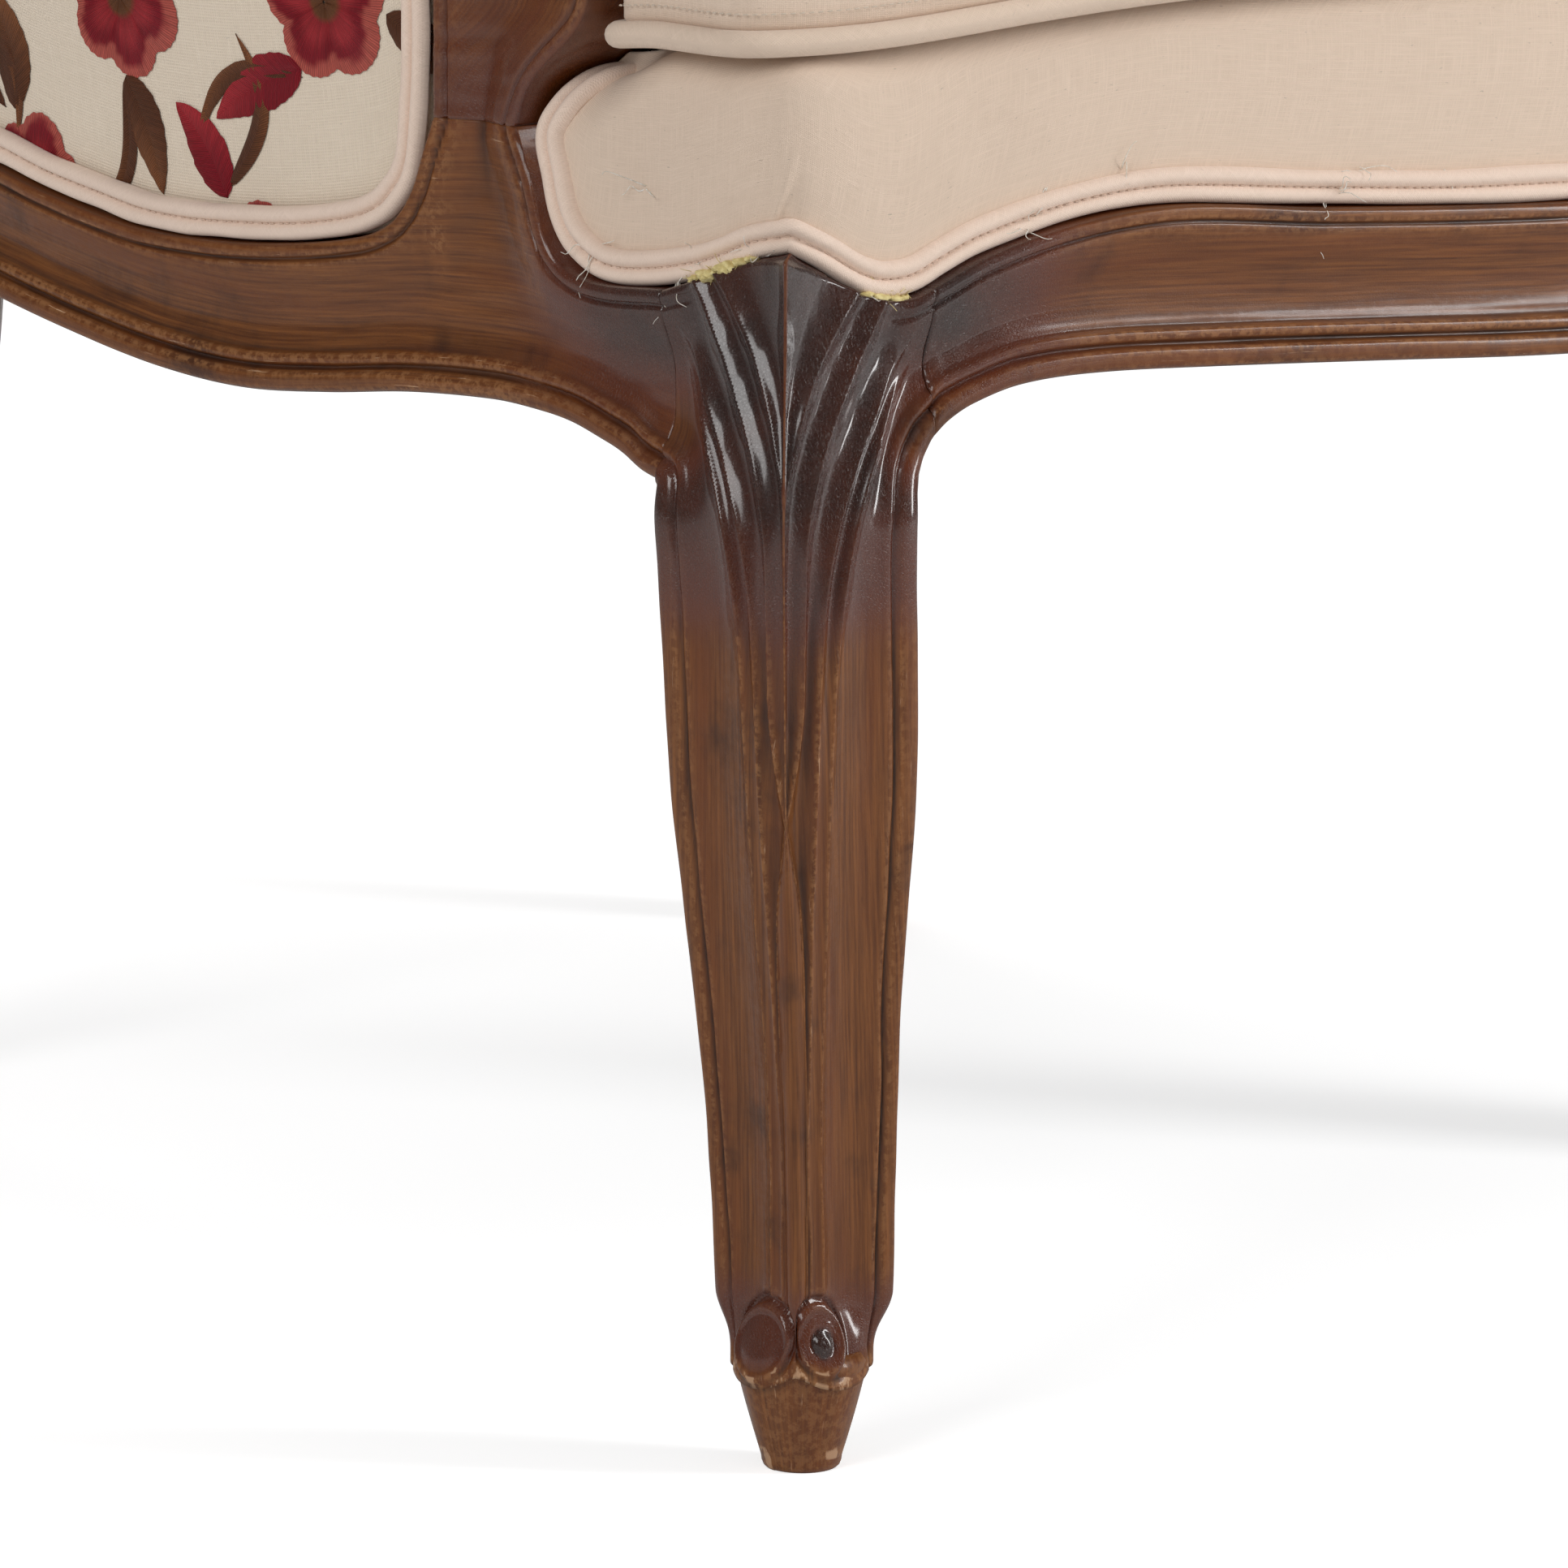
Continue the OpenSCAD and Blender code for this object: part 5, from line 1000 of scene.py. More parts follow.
def stock_material(name, light, dark, stretch, rough, metal=0.0, bump=0.3):
    """Material for a frame node, from stretched noise on its object coordinates."""
    node, link, noise, bands, span, times, blend, bumped, surface = shading(name)
    grain = noise(node("ShaderNodeTexCoord").outputs["Object"], stretch, 5, 0.6)
    return surface(
        Base_Color=blend(dark, light, span(grain, 0.36, 0.64)), Metallic=metal,
        Roughness=span(grain, 0.3, 0.7, rough + 0.1, rough), Normal=bumped(grain, bump, 0.0003))


for slot, names, *look in (
        ("beech", ("frame_dowels", "corner_blocks", "tack_rail_left", "tack_rail_right",
                   "tack_rail_back"), (0.58, 0.40, 0.24), (0.42, 0.26, 0.14), (30, 30, 420), 0.55),
        ("steel", ("corner_block_screws", "seat_springs", "dust_cover_tacks"),
         (0.52, 0.50, 0.47), (0.24, 0.20, 0.17), (300, 300, 300), 0.32, 1.0),
        ("jute", ("seat_webbing", "seat_hessian", "tub_webbing"),
         (0.47, 0.34, 0.19), (0.22, 0.15, 0.08), (900, 900, 900), 0.9, 0.0, 0.8)):
    material = stock_material(slot, *look)
    for name in names:
        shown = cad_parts[name]
        shown.data.materials.clear()
        shown.data.materials.append(material)

# ---------------------------------------------------------------------------------------
# Seat below the cushion: a linen deck cover stretched over the front edge and round the
# corners, a lining over the middle, wadding under both, and a dust cover under the webs.
CLOTH_FACE, DECK_Z, DECK_R, DECK_END, TUCK = -6.7, 369.0, 9.0, 0.3148 * SIDE_RUN, 1.5
TURN, DOME, SHOULDER, SEAT_CORNER, DUST_IN = 30.0, 9.5, 12.0, 34.0, 14.3
FLAT = np.array([mm, mm, 0])    # makes a chart of points seen from above
linen = cloth_material("linen", (0.78, 0.62, 0.495), (0.66, 0.515, 0.400), pitch=0.5, bump=0.3)
welting = cloth_material("welt", (0.88, 0.70, 0.585), (0.77, 0.60, 0.485), pitch=0.5,
                         fleck=0.12, bump=0.3, thread=(0.66, 0.50, 0.40))
stuffing = stock_material("stuffing", (0.70, 0.62, 0.45), (0.45, 0.37, 0.22), (500, 500, 500),
                          0.95)
cambric = cloth_material("cambric", (0.022, 0.022, 0.025), (0.012, 0.012, 0.014), pitch=0.8)


def sheet_faces(rows, cols):
    """Faces of a closed thin sheet: a grid, the same grid behind it, and the rims."""
    n = rows * cols
    grid = grid_faces(rows, cols)
    i = np.arange(n).reshape(rows, cols)
    rim = np.concatenate([i[0], i[1:, -1], i[-1, -2::-1], i[-2:0:-1, 0]])
    ahead = np.roll(rim, -1)
    sides = np.stack([ahead, rim, rim + n, ahead + n], -1)
    return np.concatenate([grid, grid[:, ::-1] + n, sides])


def cloth_sheet(name, front, back, material, mirror=False):
    """A closed sheet from its front and back grids, with a chart of the lengths along its front."""
    rows, cols = front.shape[:2]
    u, v = lengths(front, 0), lengths(front, 1)
    chart = np.stack([u, v, 0 * u], -1) * mm
    made = piece(name, np.concatenate([front, back]), sheet_faces(rows, cols), material,
                 mirror=mirror, chart=np.concatenate([chart, chart]))
    return made


def seat_path(count):
    """Plan of the seat's front edge from the side end of the deck's cloth to its twin:
    points, outward directions and the signed distance from the nearer corner."""
    s = np.linspace(DECK_END * 0.97, TURN, count)[:-1]
    u = np.linspace(-1, 1, 61)
    bearing = np.pi / 2 * ease((u[1:] + u[:-1]) / 2, -1, 1)
    arc = np.cumsum(np.stack([np.sin(bearing), -np.cos(bearing)], -1), 0)
    arc = np.concatenate([[[0, 0]], arc]) * TURN / arc[-1, 0] + [0, TURN] + CORNER
    arc[:, 0] += plan_out(np.maximum(-u, 0) * TURN / SIDE_RUN)[0][:, 0] - CORNER[0]
    arc[:, 1] += front_y(np.maximum(u, 0) * TURN - HALF_CORNER) - CORNER[1]
    x = np.linspace(TURN - HALF_CORNER, 0, 3 * count)[1:]
    points = np.concatenate([plan_out(s / SIDE_RUN)[0], arc, np.stack([x, front_y(x)], -1)])
    way = unit(np.gradient(points, axis=0))
    out = np.stack([way[:, 1], -way[:, 0]], -1)
    out[-1] = (0, -1)
    c = np.concatenate([-s, TURN * u, x + HALF_CORNER])
    flip = np.array([-1.0, 1.0])
    return (np.concatenate([points, points[-2::-1] * flip]),
            np.concatenate([out, out[-2::-1] * flip]), np.concatenate([c, c[-2::-1]]))


def dome(plan):
    """Rise of the sprung deck away from its two sides."""
    u = np.maximum(HALF_CORNER - np.abs(plan[..., 0]), 0)
    return DOME * (1 - bell(u, 95))


def shoulder(plan):
    """Fall of the deck towards the arm posts."""
    u = np.maximum(HALF_CORNER + 6 - np.abs(plan[..., 0]), 0)
    return SHOULDER * ease(plan[..., 1] - CORNER[1], 46, 88) * bell(u, 34)


def deck_top(plan):
    """Height of the deck's cloth."""
    return DECK_Z + dome(plan) - shoulder(plan)


def edge_bend(c):
    """Radius of the deck's rounded edge, larger beside the arm posts."""
    return DECK_R + 9 * ease(-c, 50, 87)


def deck_grid(depth):
    """Grid of the deck cover's face, `depth` behind its outside: up from the show line,
    over a rounded edge, and back across the top, with a small tuck at the corner."""
    at, to, c = seat_path(70)
    c, line = c[:, None], deck_line(c)[:, None] + TUCK
    v = np.linspace(0, 1, 44)[None, :]
    a = np.linspace(0, np.pi / 2, 14)[None, 1:]
    w = np.linspace(0, 1, 10)[None, 1:]
    bend = edge_bend(c)
    off = np.concatenate([CLOTH_FACE + 0 * c + 0 * v, CLOTH_FACE - bend * (1 - np.cos(a)),
                          mix(CLOTH_FACE - bend, -26.7, w)], 1)
    top = deck_top(at[:, None] + to[:, None] * off[..., None])
    rim = top[:, :1]
    z = np.concatenate([line + (rim - bend - line) * v, rim - bend + bend * np.sin(a),
                        rim + (top[:, -9:] - rim) * w], 1)
    over = ease(z, rim - bend, rim)
    full = np.sin(np.pi * np.clip((z - line) / (rim - line), 0, 1))
    round_out = 1.8 * bell(np.abs(c) - 32, 24) * ease(c, -75, -50)
    off = off + full * (1.2 + round_out + 0.35 * wobble(c / 30, z / 20, seed=41)) * (1 - over)
    slant = c + 3 - 0.5 * (z - 336)
    tuck = bell(slant, 1.9) - 0.7 * bell(slant - 4, 2.4)
    fan = wobble(np.degrees(np.arctan2(c, z - 318)) / 9, seed=43)
    fan = fan * ease(-z, -352, -326) * bell(c, 22)
    off = off + 0.6 * tuck * ease(z, 325, 333) * ease(-z, -350, -332) + 0.3 * fan - depth
    z = z - depth * over
    points = np.concatenate([at[:, None] + to[:, None] * off[..., None], z[..., None]], -1)
    stop = CORNER[1] + (post_edge(z) - 1.2 / SIDE_RUN) * SIDE_RUN
    points[..., 1] = np.where(c < 0, np.minimum(points[..., 1], stop), points[..., 1])
    return points


def radial(outline, centre, top, bottom, rings=36):
    """Closed flat shape inside an outline: rings from the middle to the edge on top, and
    back below. top and bottom give heights from plan points and distance to the edge."""
    share = 1 - np.linspace(0.985, 0, rings)**1.25
    at = centre + (outline[None] - centre) * share[:, None, None]
    d = (1 - share)[:, None] * np.linalg.norm(outline - centre, axis=-1)[None]
    up = np.concatenate([at, top(at, d)[..., None]], -1)
    down = np.concatenate([at, bottom(at, d)[..., None]], -1)[::-1]
    points = np.concatenate([up, down])
    return points, tube_faces(*points.shape[:2])


def seat_outline(inset_side, inset_front, count=400):
    """Outline of the seat in plan, drawn in by distances at stations and at the front."""
    first = inset_side(np.array([0.05]))[0] / SIDE_RUN
    t = np.linspace(first, 4 - first, count)
    at, to = plan_out(t)
    at = at - to * inset_side(half_t(t))[:, None]
    x = np.linspace(at[-1, 0], at[0, 0], 160)[1:-1]
    line = np.concatenate([at, np.stack([x, front_y(x) + inset_front], -1)])
    q = np.stack([HALF_CORNER - np.abs(line[:, 0]), line[:, 1] - CORNER[1]], -1) - SEAT_CORNER
    far, bend = np.linalg.norm(q, axis=-1), SEAT_CORNER - inset_front
    cut = (q < 0).all(-1) & (far > bend)
    q = np.where(cut[:, None], q * (bend / np.maximum(far, 1))[:, None], q) + SEAT_CORNER
    return np.stack([np.sign(line[:, 0]) * (HALF_CORNER - q[:, 0]), CORNER[1] + q[:, 1]], -1)


deck_front, deck_back = deck_grid(0.0), deck_grid(1.6)
MIDDLE = np.array([0.0, -70.0])


def at_posts(h, outer, inner):
    """Inset that grows from `outer` in front of the arm posts to `inner` beside them."""
    return mix(outer, inner, ease(h, 0.2, 0.24))


lining_rim = seat_outline(lambda h: at_posts(h, 21.5, 58), 21.5)
points, faces = radial(lining_rim, MIDDLE,
                       lambda p, d: deck_top(p) - 0.6 * ease(d, 0, 60) + 0.25 * wobble(
                           p[..., 0] / 40, p[..., 1] / 40, seed=42),
                       lambda p, d: deck_top(p) - 2.0 - 0.6 * ease(d, 0, 60))
lining = piece("deck_lining_cloth", points, faces, linen, chart=points * FLAT)
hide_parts("deck_lining")


def under(p, d):
    """Height of the wadding's underside, just over the ledge."""
    return np.maximum(np.minimum(mix(352, 347.2, ease(d, -2, 5)), deck_top(p) - 15), 345.6)


pad_rim = seat_outline(lambda h: at_posts(h, 11.5, 48), 11.5)
points, faces = radial(pad_rim, MIDDLE, lambda p, d: np.maximum(
    deck_top(p) - mix(12, 2.8, ease(d, -2, 12)), under(p, d) + 1), under, 24)
padding = piece("seat_wadding", points, faces, stuffing)
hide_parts("seat_stuffing", "front_edge_roll")


def under_inset(h):
    """Inset of the dust cover, with notches round the back legs."""
    past = ease(h, STILE_0 - 0.03, STILE_0 - 0.005)
    return DUST_IN + 30 * past * ease(-h, -STILE_1 - 0.03, -STILE_1 - 0.005)


def sag(p, d):
    """Height of the dust cover's upper face, tacked under the rails."""
    return (286.5 - 3.5 * ease(d, 0, 26) - ease(d, 20, 200)
            + 0.3 * wobble(p[..., 0] / 50, p[..., 1] / 50, seed=44))


rim = seat_outline(under_inset, DUST_IN, 700)
clear_x, clear_y = HALF_CORNER - BLOCK - 0.5, CORNER[1] + BLOCK + 0.5
near_x, near_y = np.abs(rim[:, 0]) - clear_x, clear_y - rim[:, 1]
in_block = (near_x > 0) & (near_y > 0)
by_x = in_block & (near_x < near_y)
rim[:, 0] = np.where(by_x, np.sign(rim[:, 0]) * clear_x, rim[:, 0])
rim[:, 1] = np.where(in_block & ~by_x, clear_y, rim[:, 1])
points, faces = radial(rim, MIDDLE, sag, lambda p, d: sag(p, d) - 1.0)
dust = piece("dust_cover_cloth", points, faces, cambric, chart=points * FLAT)
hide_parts("dust_cover")

# ---------------------------------------------------------------------------------------
# Double welts: two cords in one strip of cloth cut on the bias, glued over the tacks, with
# a line of stitches in the groove.
CORD, SUNK, STITCH, WELT_OUT = 4.5, 0.3, 2.7, 6.4


def smooth_line(points, count, closed=False):
    """Dense curve through control points, by length along their chords."""
    points = np.asarray(points, float)
    n = len(points)
    if closed:
        points = np.concatenate([points[-3:], points, points[:4]])
    run = lengths(points[:, :3], 0)
    ends = (run[3], run[3 + n]) if closed else (0, run[-1])
    at = np.linspace(*ends, count, endpoint=not closed)
    return np.stack([curve(np.stack([run, row], -1))(at) for row in points.T], -1)


def repeated(faces, size, count):
    """The faces of a shape of `size` points, for `count` such shapes one after another."""
    return [[i + size * k for i in f] for k in range(count) for f in faces]


def dashes(at, ahead, across, out, long=1.7, thick=0.27):
    """Stitches: a short rounded bar at each place, along the seam."""
    u = np.array([-0.5, -0.32, 0.32, 0.5])[:, None] * long
    r = np.array([0.35, 1, 1, 0.35])[:, None] * thick
    a = np.linspace(0, 2 * np.pi, 5, endpoint=False)[None, :]
    local = (at[:, None, None] + ahead[:, None, None] * (u + 0 * a)[None, ..., None]
             + across[:, None, None] * (r * np.cos(a) + 0.1 * u)[None, ..., None]
             + out[:, None, None] * (r * np.sin(a))[None, ..., None])
    return local.reshape(-1, 3), repeated(tube_faces(4, 5), 20, len(at))


def welt(name, path, out, node_name, seed, loop=False, mirror=False):
    """Double welt along a dense path, standing out from the cloth: two round lobes whose
    section is a power of a sine, a groove between them, and a line of stitches."""
    out = unit(out)
    ahead = np.roll(path, -1, 0) - np.roll(path, 1, 0)
    if not loop:
        ahead[0], ahead[-1] = path[1] - path[0], path[-1] - path[-2]
    ahead = unit(ahead)
    across = unit(np.cross(ahead, out))
    run = lengths(path, 0)
    a = np.pi * np.linspace(1, 0.12, 12)
    x = CORD / 2 * (np.cos(a) - 1)
    h = 0.5 + 3.5 * np.sin(a)**0.85
    x, h = np.concatenate([[-CORD], x, -x[::-1], [CORD]]), np.concatenate([[0], h, h[::-1], [0]])
    puff = 1 + 0.035 * wobble(run / 5, seed=seed)[:, None]
    sway = 0.22 * wobble(run / 14, seed=seed + 1)[:, None]
    points = (path[:, None] + across[:, None] * (x * puff + sway)[..., None]
              + out[:, None] * (h * puff - SUNK)[..., None])
    rows, cols = points.shape[:2]
    faces = grid_faces(rows, cols, True, True).tolist() if loop else tube_faces(rows, cols)
    places = np.arange(1.3, run[-1] - 1, STITCH)
    pick = np.clip(np.searchsorted(run, places), 0, rows - 1)
    bars = dashes(path[pick] + across[pick] * sway[pick] + out[pick] * (CORD / 2 - SUNK),
                  ahead[pick], across[pick], out[pick])
    run = run[:, None]
    chart = np.stack([run + x, run - x, 0 * run + 0 * x], -1) / 2**0.5
    both, faces = joined((points, faces), bars)
    n_bar = len(bars[0])
    made = piece(name, both, faces, welting, mirror=mirror,
                 chart=np.concatenate([chart.reshape(-1, 3) * mm, np.zeros((n_bar, 3))]),
                 mark=np.concatenate([np.zeros(rows * cols), np.ones(n_bar)]))
    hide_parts(node_name)


def welt_lift(c):
    """Rise of the welt's middle above the show line, square to its slope."""
    slope = (deck_line(c + 2) - deck_line(c - 2)) / 4
    return 0.3 + CORD * np.sqrt(1 + slope**2)


rows, bend = [], edge_bend(-DECK_END)
for turned, inside in ((90, 16), (90, 8), (80, 0), (60, 0), (38, 0), (14, 0)):
    up, over = np.sin(np.radians(turned)), np.cos(np.radians(turned))
    z = DECK_Z - SHOULDER - bend * (1 - up)
    rows.append([*wall(post_edge(max(z, LEDGE)) - 8 / SIDE_RUN, z,
                       -WELT_OUT - bend * (1 - over) - inside), -over, 0, up])
for share, high in ((0.945, 1.45), (0.915, 1.2), (0.865, 1.03), (0.76, 0.905)):
    rows.append([*wall(share * DECK_END / SIDE_RUN, ARCH + SHOW * high, -WELT_OUT), -1, 0, 0])
for s in (0.6 * DECK_END, 0.4 * DECK_END):
    rows.append([*wall(s / SIDE_RUN, deck_line(-s) + welt_lift(-s), -WELT_OUT), -1, 0, 0])
at, to, c = seat_path(40)
half = len(at) // 2 + 1
use = np.arange(half)[c[:half] > -0.3 * DECK_END]
for k in sorted({*use[::4].tolist(), half - 1}):
    p = at[k] - to[k] * WELT_OUT
    rows.append([p[0], p[1], float(deck_line(c[k]) + welt_lift(c[k])), to[k][0], to[k][1], 0])
rows = np.array(rows)
rows = np.concatenate([rows, rows[-2::-1] * np.array([-1, 1, 1, -1, 1, 1])])
line = smooth_line(rows, 1100)
welt("deck_welt_cord", line[:, :3], line[:, 3:], "deck_welt", seed=51)

# ---------------------------------------------------------------------------------------
# Outside covers: cream cloth embroidered in crimson, rose and brown, lined, stretched over
# the openings of the frame and tacked in its rebate. The embroidery is a loose lattice of
# scalloped rosettes, leaves and curved stems in satin stitch, raised above the ground.
ground = cloth_material("embroidery", (0.90, 0.77, 0.62), (0.76, 0.63, 0.49), pitch=0.8,
                        fleck=0.25, bump=0.8)
SEWN_LOW, SEWN_ROWS, SEWN_PITCH, LINED = 306.0, 10, 80.0, 1.8
SIDE_W0, SIDE_W1 = POST_BACK * SIDE_RUN + 2, SIDE_RUN + (STILE_0 - 1) * BACK_ARC - 0.3
BACK_W0 = SIDE_RUN + (STILE_1 - 1) * BACK_ARC + 0.3
BACK_W1 = 2 * (SIDE_RUN + BACK_ARC) - BACK_W0


def t_of(w):
    """Station at a distance w along the wall."""
    return np.where(w < SIDE_RUN, w / SIDE_RUN, 1 + (w - SIDE_RUN) / BACK_ARC)


def panel_ends(t):
    """Lower and upper edge of an outside cover at a station."""
    size = np.maximum(1, scroll(half_t(t) - ARM_T))
    return (ARCH + SHOW * side_line(half_t(t)) + 0.3,
            top_mid(t) - size * top_half(t) - 0.3)


def panel_place(w, z, w0, w1, lift):
    """Points of an outside cover: its face swells by a power of sines to the middle."""
    w = np.clip(w, w0 + 0.5, w1 - 0.5)
    t = t_of(w)
    low, top = panel_ends(t)
    z = np.clip(z, low + 0.5, top - 0.5)
    u, v = (w - w0) / (w1 - w0), (z - low) / (top - low)
    swell = (np.clip(np.sin(np.pi * u), 0, 1) * np.clip(np.sin(np.pi * v), 0, 1))**0.7
    ripple = 0.35 * wobble(w / 45, z / 45, seed=61) + 0.12 * wobble(w / 9, z / 9, seed=62)
    return wall(t, z, CLOTH_FACE + 6 * swell + ripple * swell**0.5 + lift)


def thread_material():
    """Satin stitch: glossy strands across `chart`, each a little lighter or darker, in
    the colour of the point field `tint`."""
    node, link, noise, bands, span, times, blend, bumped, surface = shading("satin_stitch")
    tint = node("ShaderNodeAttribute", attribute_name="tint").outputs["Color"]
    chart = node("ShaderNodeAttribute", attribute_name="chart").outputs["Vector"]
    strands = bands(chart, "X", 0.62, 0.8)
    value = node("ShaderNodeMath", operation="ADD", in_1=0.22)
    link(times(span(noise(chart, (1500, 60, 60), 2, 0.6), 0.3, 0.7, 0.62, 1.0),
               span(strands, 0.0, 0.6, 0.62, 1.0)), value.inputs[0])
    tone = node("ShaderNodeHueSaturation")
    link(tint, tone.inputs["Color"])
    link(value.outputs[0], tone.inputs["Value"])
    return surface(Base_Color=tone.outputs[0], Roughness=0.6, Specular_IOR_Level=0.3,
                   Normal=bumped(strands, 0.9, 0.0003))


satin = thread_material()
WINE, ROSE, BLUSH = np.array([[0.26, 0.004, 0.014], [0.50, 0.030, 0.040], [0.62, 0.14, 0.10]])
UMBER, TAN = np.array([[0.115, 0.036, 0.013], [0.27, 0.095, 0.034]])


def rosette(radius, lobes, turn, seed):
    """Scalloped flower: satin stitches run outwards from a small knotted middle."""
    rho = np.linspace(0.02, 1, 12)[:, None]
    a = np.linspace(0, 2 * np.pi, 100)[None, :]
    saw = (a * radius / 0.9) % 1.0
    scallop = 0.80 + 0.20 * np.abs(np.cos(lobes * (a + turn) / 2))**0.7
    r = radius * rho * mix(1, scallop + 0.035 * saw, rho**2)
    fold = 1 - np.abs(np.cos(lobes * (a + turn) / 2))
    h = 0.35 + 0.75 * (1 - rho**5) * (1 - 0.55 * fold**5) - 0.35 * bell(rho - 0.30, 0.05)
    tone = np.clip(rho + 0.25 * fold + 0.1 * wobble(3 * a, 4 * rho, seed=seed), 0, 1)
    tint = np.where((rho < 0.28)[..., None], TAN, mix(ROSE, WINE, ease(tone, 0.45, 0.8)[..., None]))
    tint = mix(tint, BLUSH, (ease(tone, 0.93, 0.99) * 0.7)[..., None])
    return r * np.cos(a), r * np.sin(a), h, a * radius * 0.8 + 0 * rho, r, tint


def leaf(long, wide, bend, dark, light, rows, cols):
    """Leaf or stem along a bent midrib: slanted satin stitches meet at the midrib, and the
    edge has the fine steps of their ends."""
    a, b = np.linspace(0, 1, rows)[:, None], np.linspace(-1, 1, cols)[None, :]
    mid_x, mid_y = long * a, bend * long * np.sin(np.pi * a * 0.9)
    way = unit(np.gradient(np.concatenate([mid_x, mid_y], 1), axis=0))
    half = 0.5 * wide * np.sin(np.pi * a**0.75)**0.8 * (1 + 0.10 * ((long * a / 1.1) % 1.0))
    x, y = mid_x - way[:, 1:] * half * b, mid_y + way[:, :1] * half * b
    h = 0.35 + 0.7 * (1 - b**4) * np.minimum(1, half / 1.5) - 0.35 * bell(b, 0.12)
    tint = mix(dark, light, ease(a + 0.25 * b, 0.2, 1.1)[..., None])
    return x, y, h, long * a - 0.7 * half * np.abs(b), half * b, tint


def stitched(name, w0, w1, seed, mirror):
    """A field of motifs as one piece: rosettes on a loose lattice, each with three leaves
    and two stems round it."""
    rng = np.random.default_rng(seed)
    points, faces, charts, tints, first = [], [], [], [], 0
    for row in range(SEWN_ROWS):
        for w in np.arange(w0 - 8 + (row % 2) * SEWN_PITCH / 2, w1 + 14, SEWN_PITCH):
            at = [w, SEWN_LOW + 0.8 * SEWN_PITCH * row] + rng.uniform(-8, 8, 2)
            low, top = panel_ends(t_of(np.clip(at[0], w0, w1)))
            turn = rng.uniform(0, 2 * np.pi)
            kind = rng.integers(0, 3)
            if low - 30 > at[1] or top + 30 < at[1]:
                continue
            parts = [(rosette(rng.uniform(17, 22), int(rng.integers(5, 8)), turn, seed), 0, 0, 0)]
            for k in range(3):
                way = turn + k * 2.1 + rng.uniform(-0.3, 0.3)
                shade = (UMBER, TAN) if (k + kind) % 3 else (WINE, ROSE)
                parts.append((leaf(rng.uniform(26, 38), rng.uniform(12, 17),
                                   rng.uniform(-0.25, 0.25), *shade, 24, 9),
                              21, way, way + rng.uniform(-0.6, 0.6)))
            for k in range(2):
                way = turn + 1.0 + 3.1 * k
                parts.append((leaf(rng.uniform(34, 48), 5.5, rng.choice([-0.3, 0.3]), UMBER,
                                   TAN, 20, 5), 23, way, way + 0.5))
            for (x, y, h, u, v, tint), far, way, turned in parts:
                face = panel_place(
                    at[0] + far * np.cos(way) + x * np.cos(turned) - y * np.sin(turned),
                    at[1] + far * np.sin(way) + x * np.sin(turned) + y * np.cos(turned),
                    w0, w1, h)
                points.append(face.reshape(-1, 3))
                faces += grid_faces(*h.shape, first=first).tolist()
                charts.append(np.stack([u, v + 0 * u, 0 * u], -1).reshape(-1, 3) * mm)
                tints.append(np.broadcast_to(tint, h.shape + (3,)).reshape(-1, 3))
                first += h.size
    made = piece(name, np.concatenate(points), faces, satin, mirror=mirror,
                 chart=np.concatenate(charts), tint=np.concatenate(tints))
    return made


def outside_cover(label, w0, w1, mirror=False):
    """One outside cover with its embroidery and its double welt."""
    w = np.linspace(w0, w1, 120)[:, None]
    low, top = panel_ends(t_of(w))
    z = low + (top - low) * np.linspace(0, 1, 90)[None, :]
    sewn = stitched(f"embroidery_{label}", w0, w1, 71 + (label == "back"), mirror)
    made = cloth_sheet(f"outside_cloth_{label}", panel_place(w, z, w0, w1, 0.0),
                       panel_place(w, z, w0, w1, -LINED), ground,
                       mirror)
    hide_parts(f"outside_cover_{label}")
    off = CLOTH_FACE + 6 * 0.37 + 0.3
    lows = np.linspace(w0 + 2 * CORD, w1 - 2 * CORD, 60)
    reach = CORD / SIDE_RUN
    rows = []
    for u in lows:
        t = t_of(u)
        rows.append((u, max(panel_ends(t - reach)[0], panel_ends(t + reach)[0]) + CORD))
    for v in np.linspace(0.06, 0.93, 6):
        a, b = panel_ends(t_of(w1))
        rows.append((w1 - CORD, a + (b - a) * v))
    for u in lows[::-1]:
        t = t_of(u)
        rows.append((u, panel_ends(t)[1] - CORD * float(np.sqrt(1 + top_slope(t)**2))))
    for v in np.linspace(0.92, 0.10, 6):
        a, b = panel_ends(t_of(w0))
        rows.append((w0 + CORD, a + (b - a) * v))
    rows = np.array(rows, float)
    t = t_of(rows[:, 0])
    path = np.concatenate([wall(t, rows[:, 1], off), level(plan_out(t)[1])], 1)
    loop = smooth_line(path, 1500, True)
    welt(f"outside_welt_cord_{label}", loop[:, :3], loop[:, 3:], f"outside_welt_{label}",
         loop=True, mirror=mirror, seed=55)


for mirror, label in SIDES:
    outside_cover(label, SIDE_W0, SIDE_W1,
                  mirror)
outside_cover("back", BACK_W0, BACK_W1)

# ---------------------------------------------------------------------------------------
# Inside of the tub: linen drawn over curled hair, one padded piece from the deck up over
# the top, finished with a double welt inside the frame.
LINING_IN, STUFF_ARM, STUFF_BACK, COVER_T = 45.2, 22.0, 36.0, 3.0
INSIDE_T = 0.341
INNER_HALF = float(-plan_out(np.array(POST_BACK))[0][..., 0]) - LINING_IN - STUFF_ARM - COVER_T


def inner_in(t):
    """Distance of the tub's inner face from the wall."""
    h = half_t(t)
    return np.where(h <= 1, -plan_out(h)[0][..., 0] - INNER_HALF,
                    mix(HALF_TUB - INNER_HALF, LINING_IN + STUFF_BACK + COVER_T, ease(h - 1)))


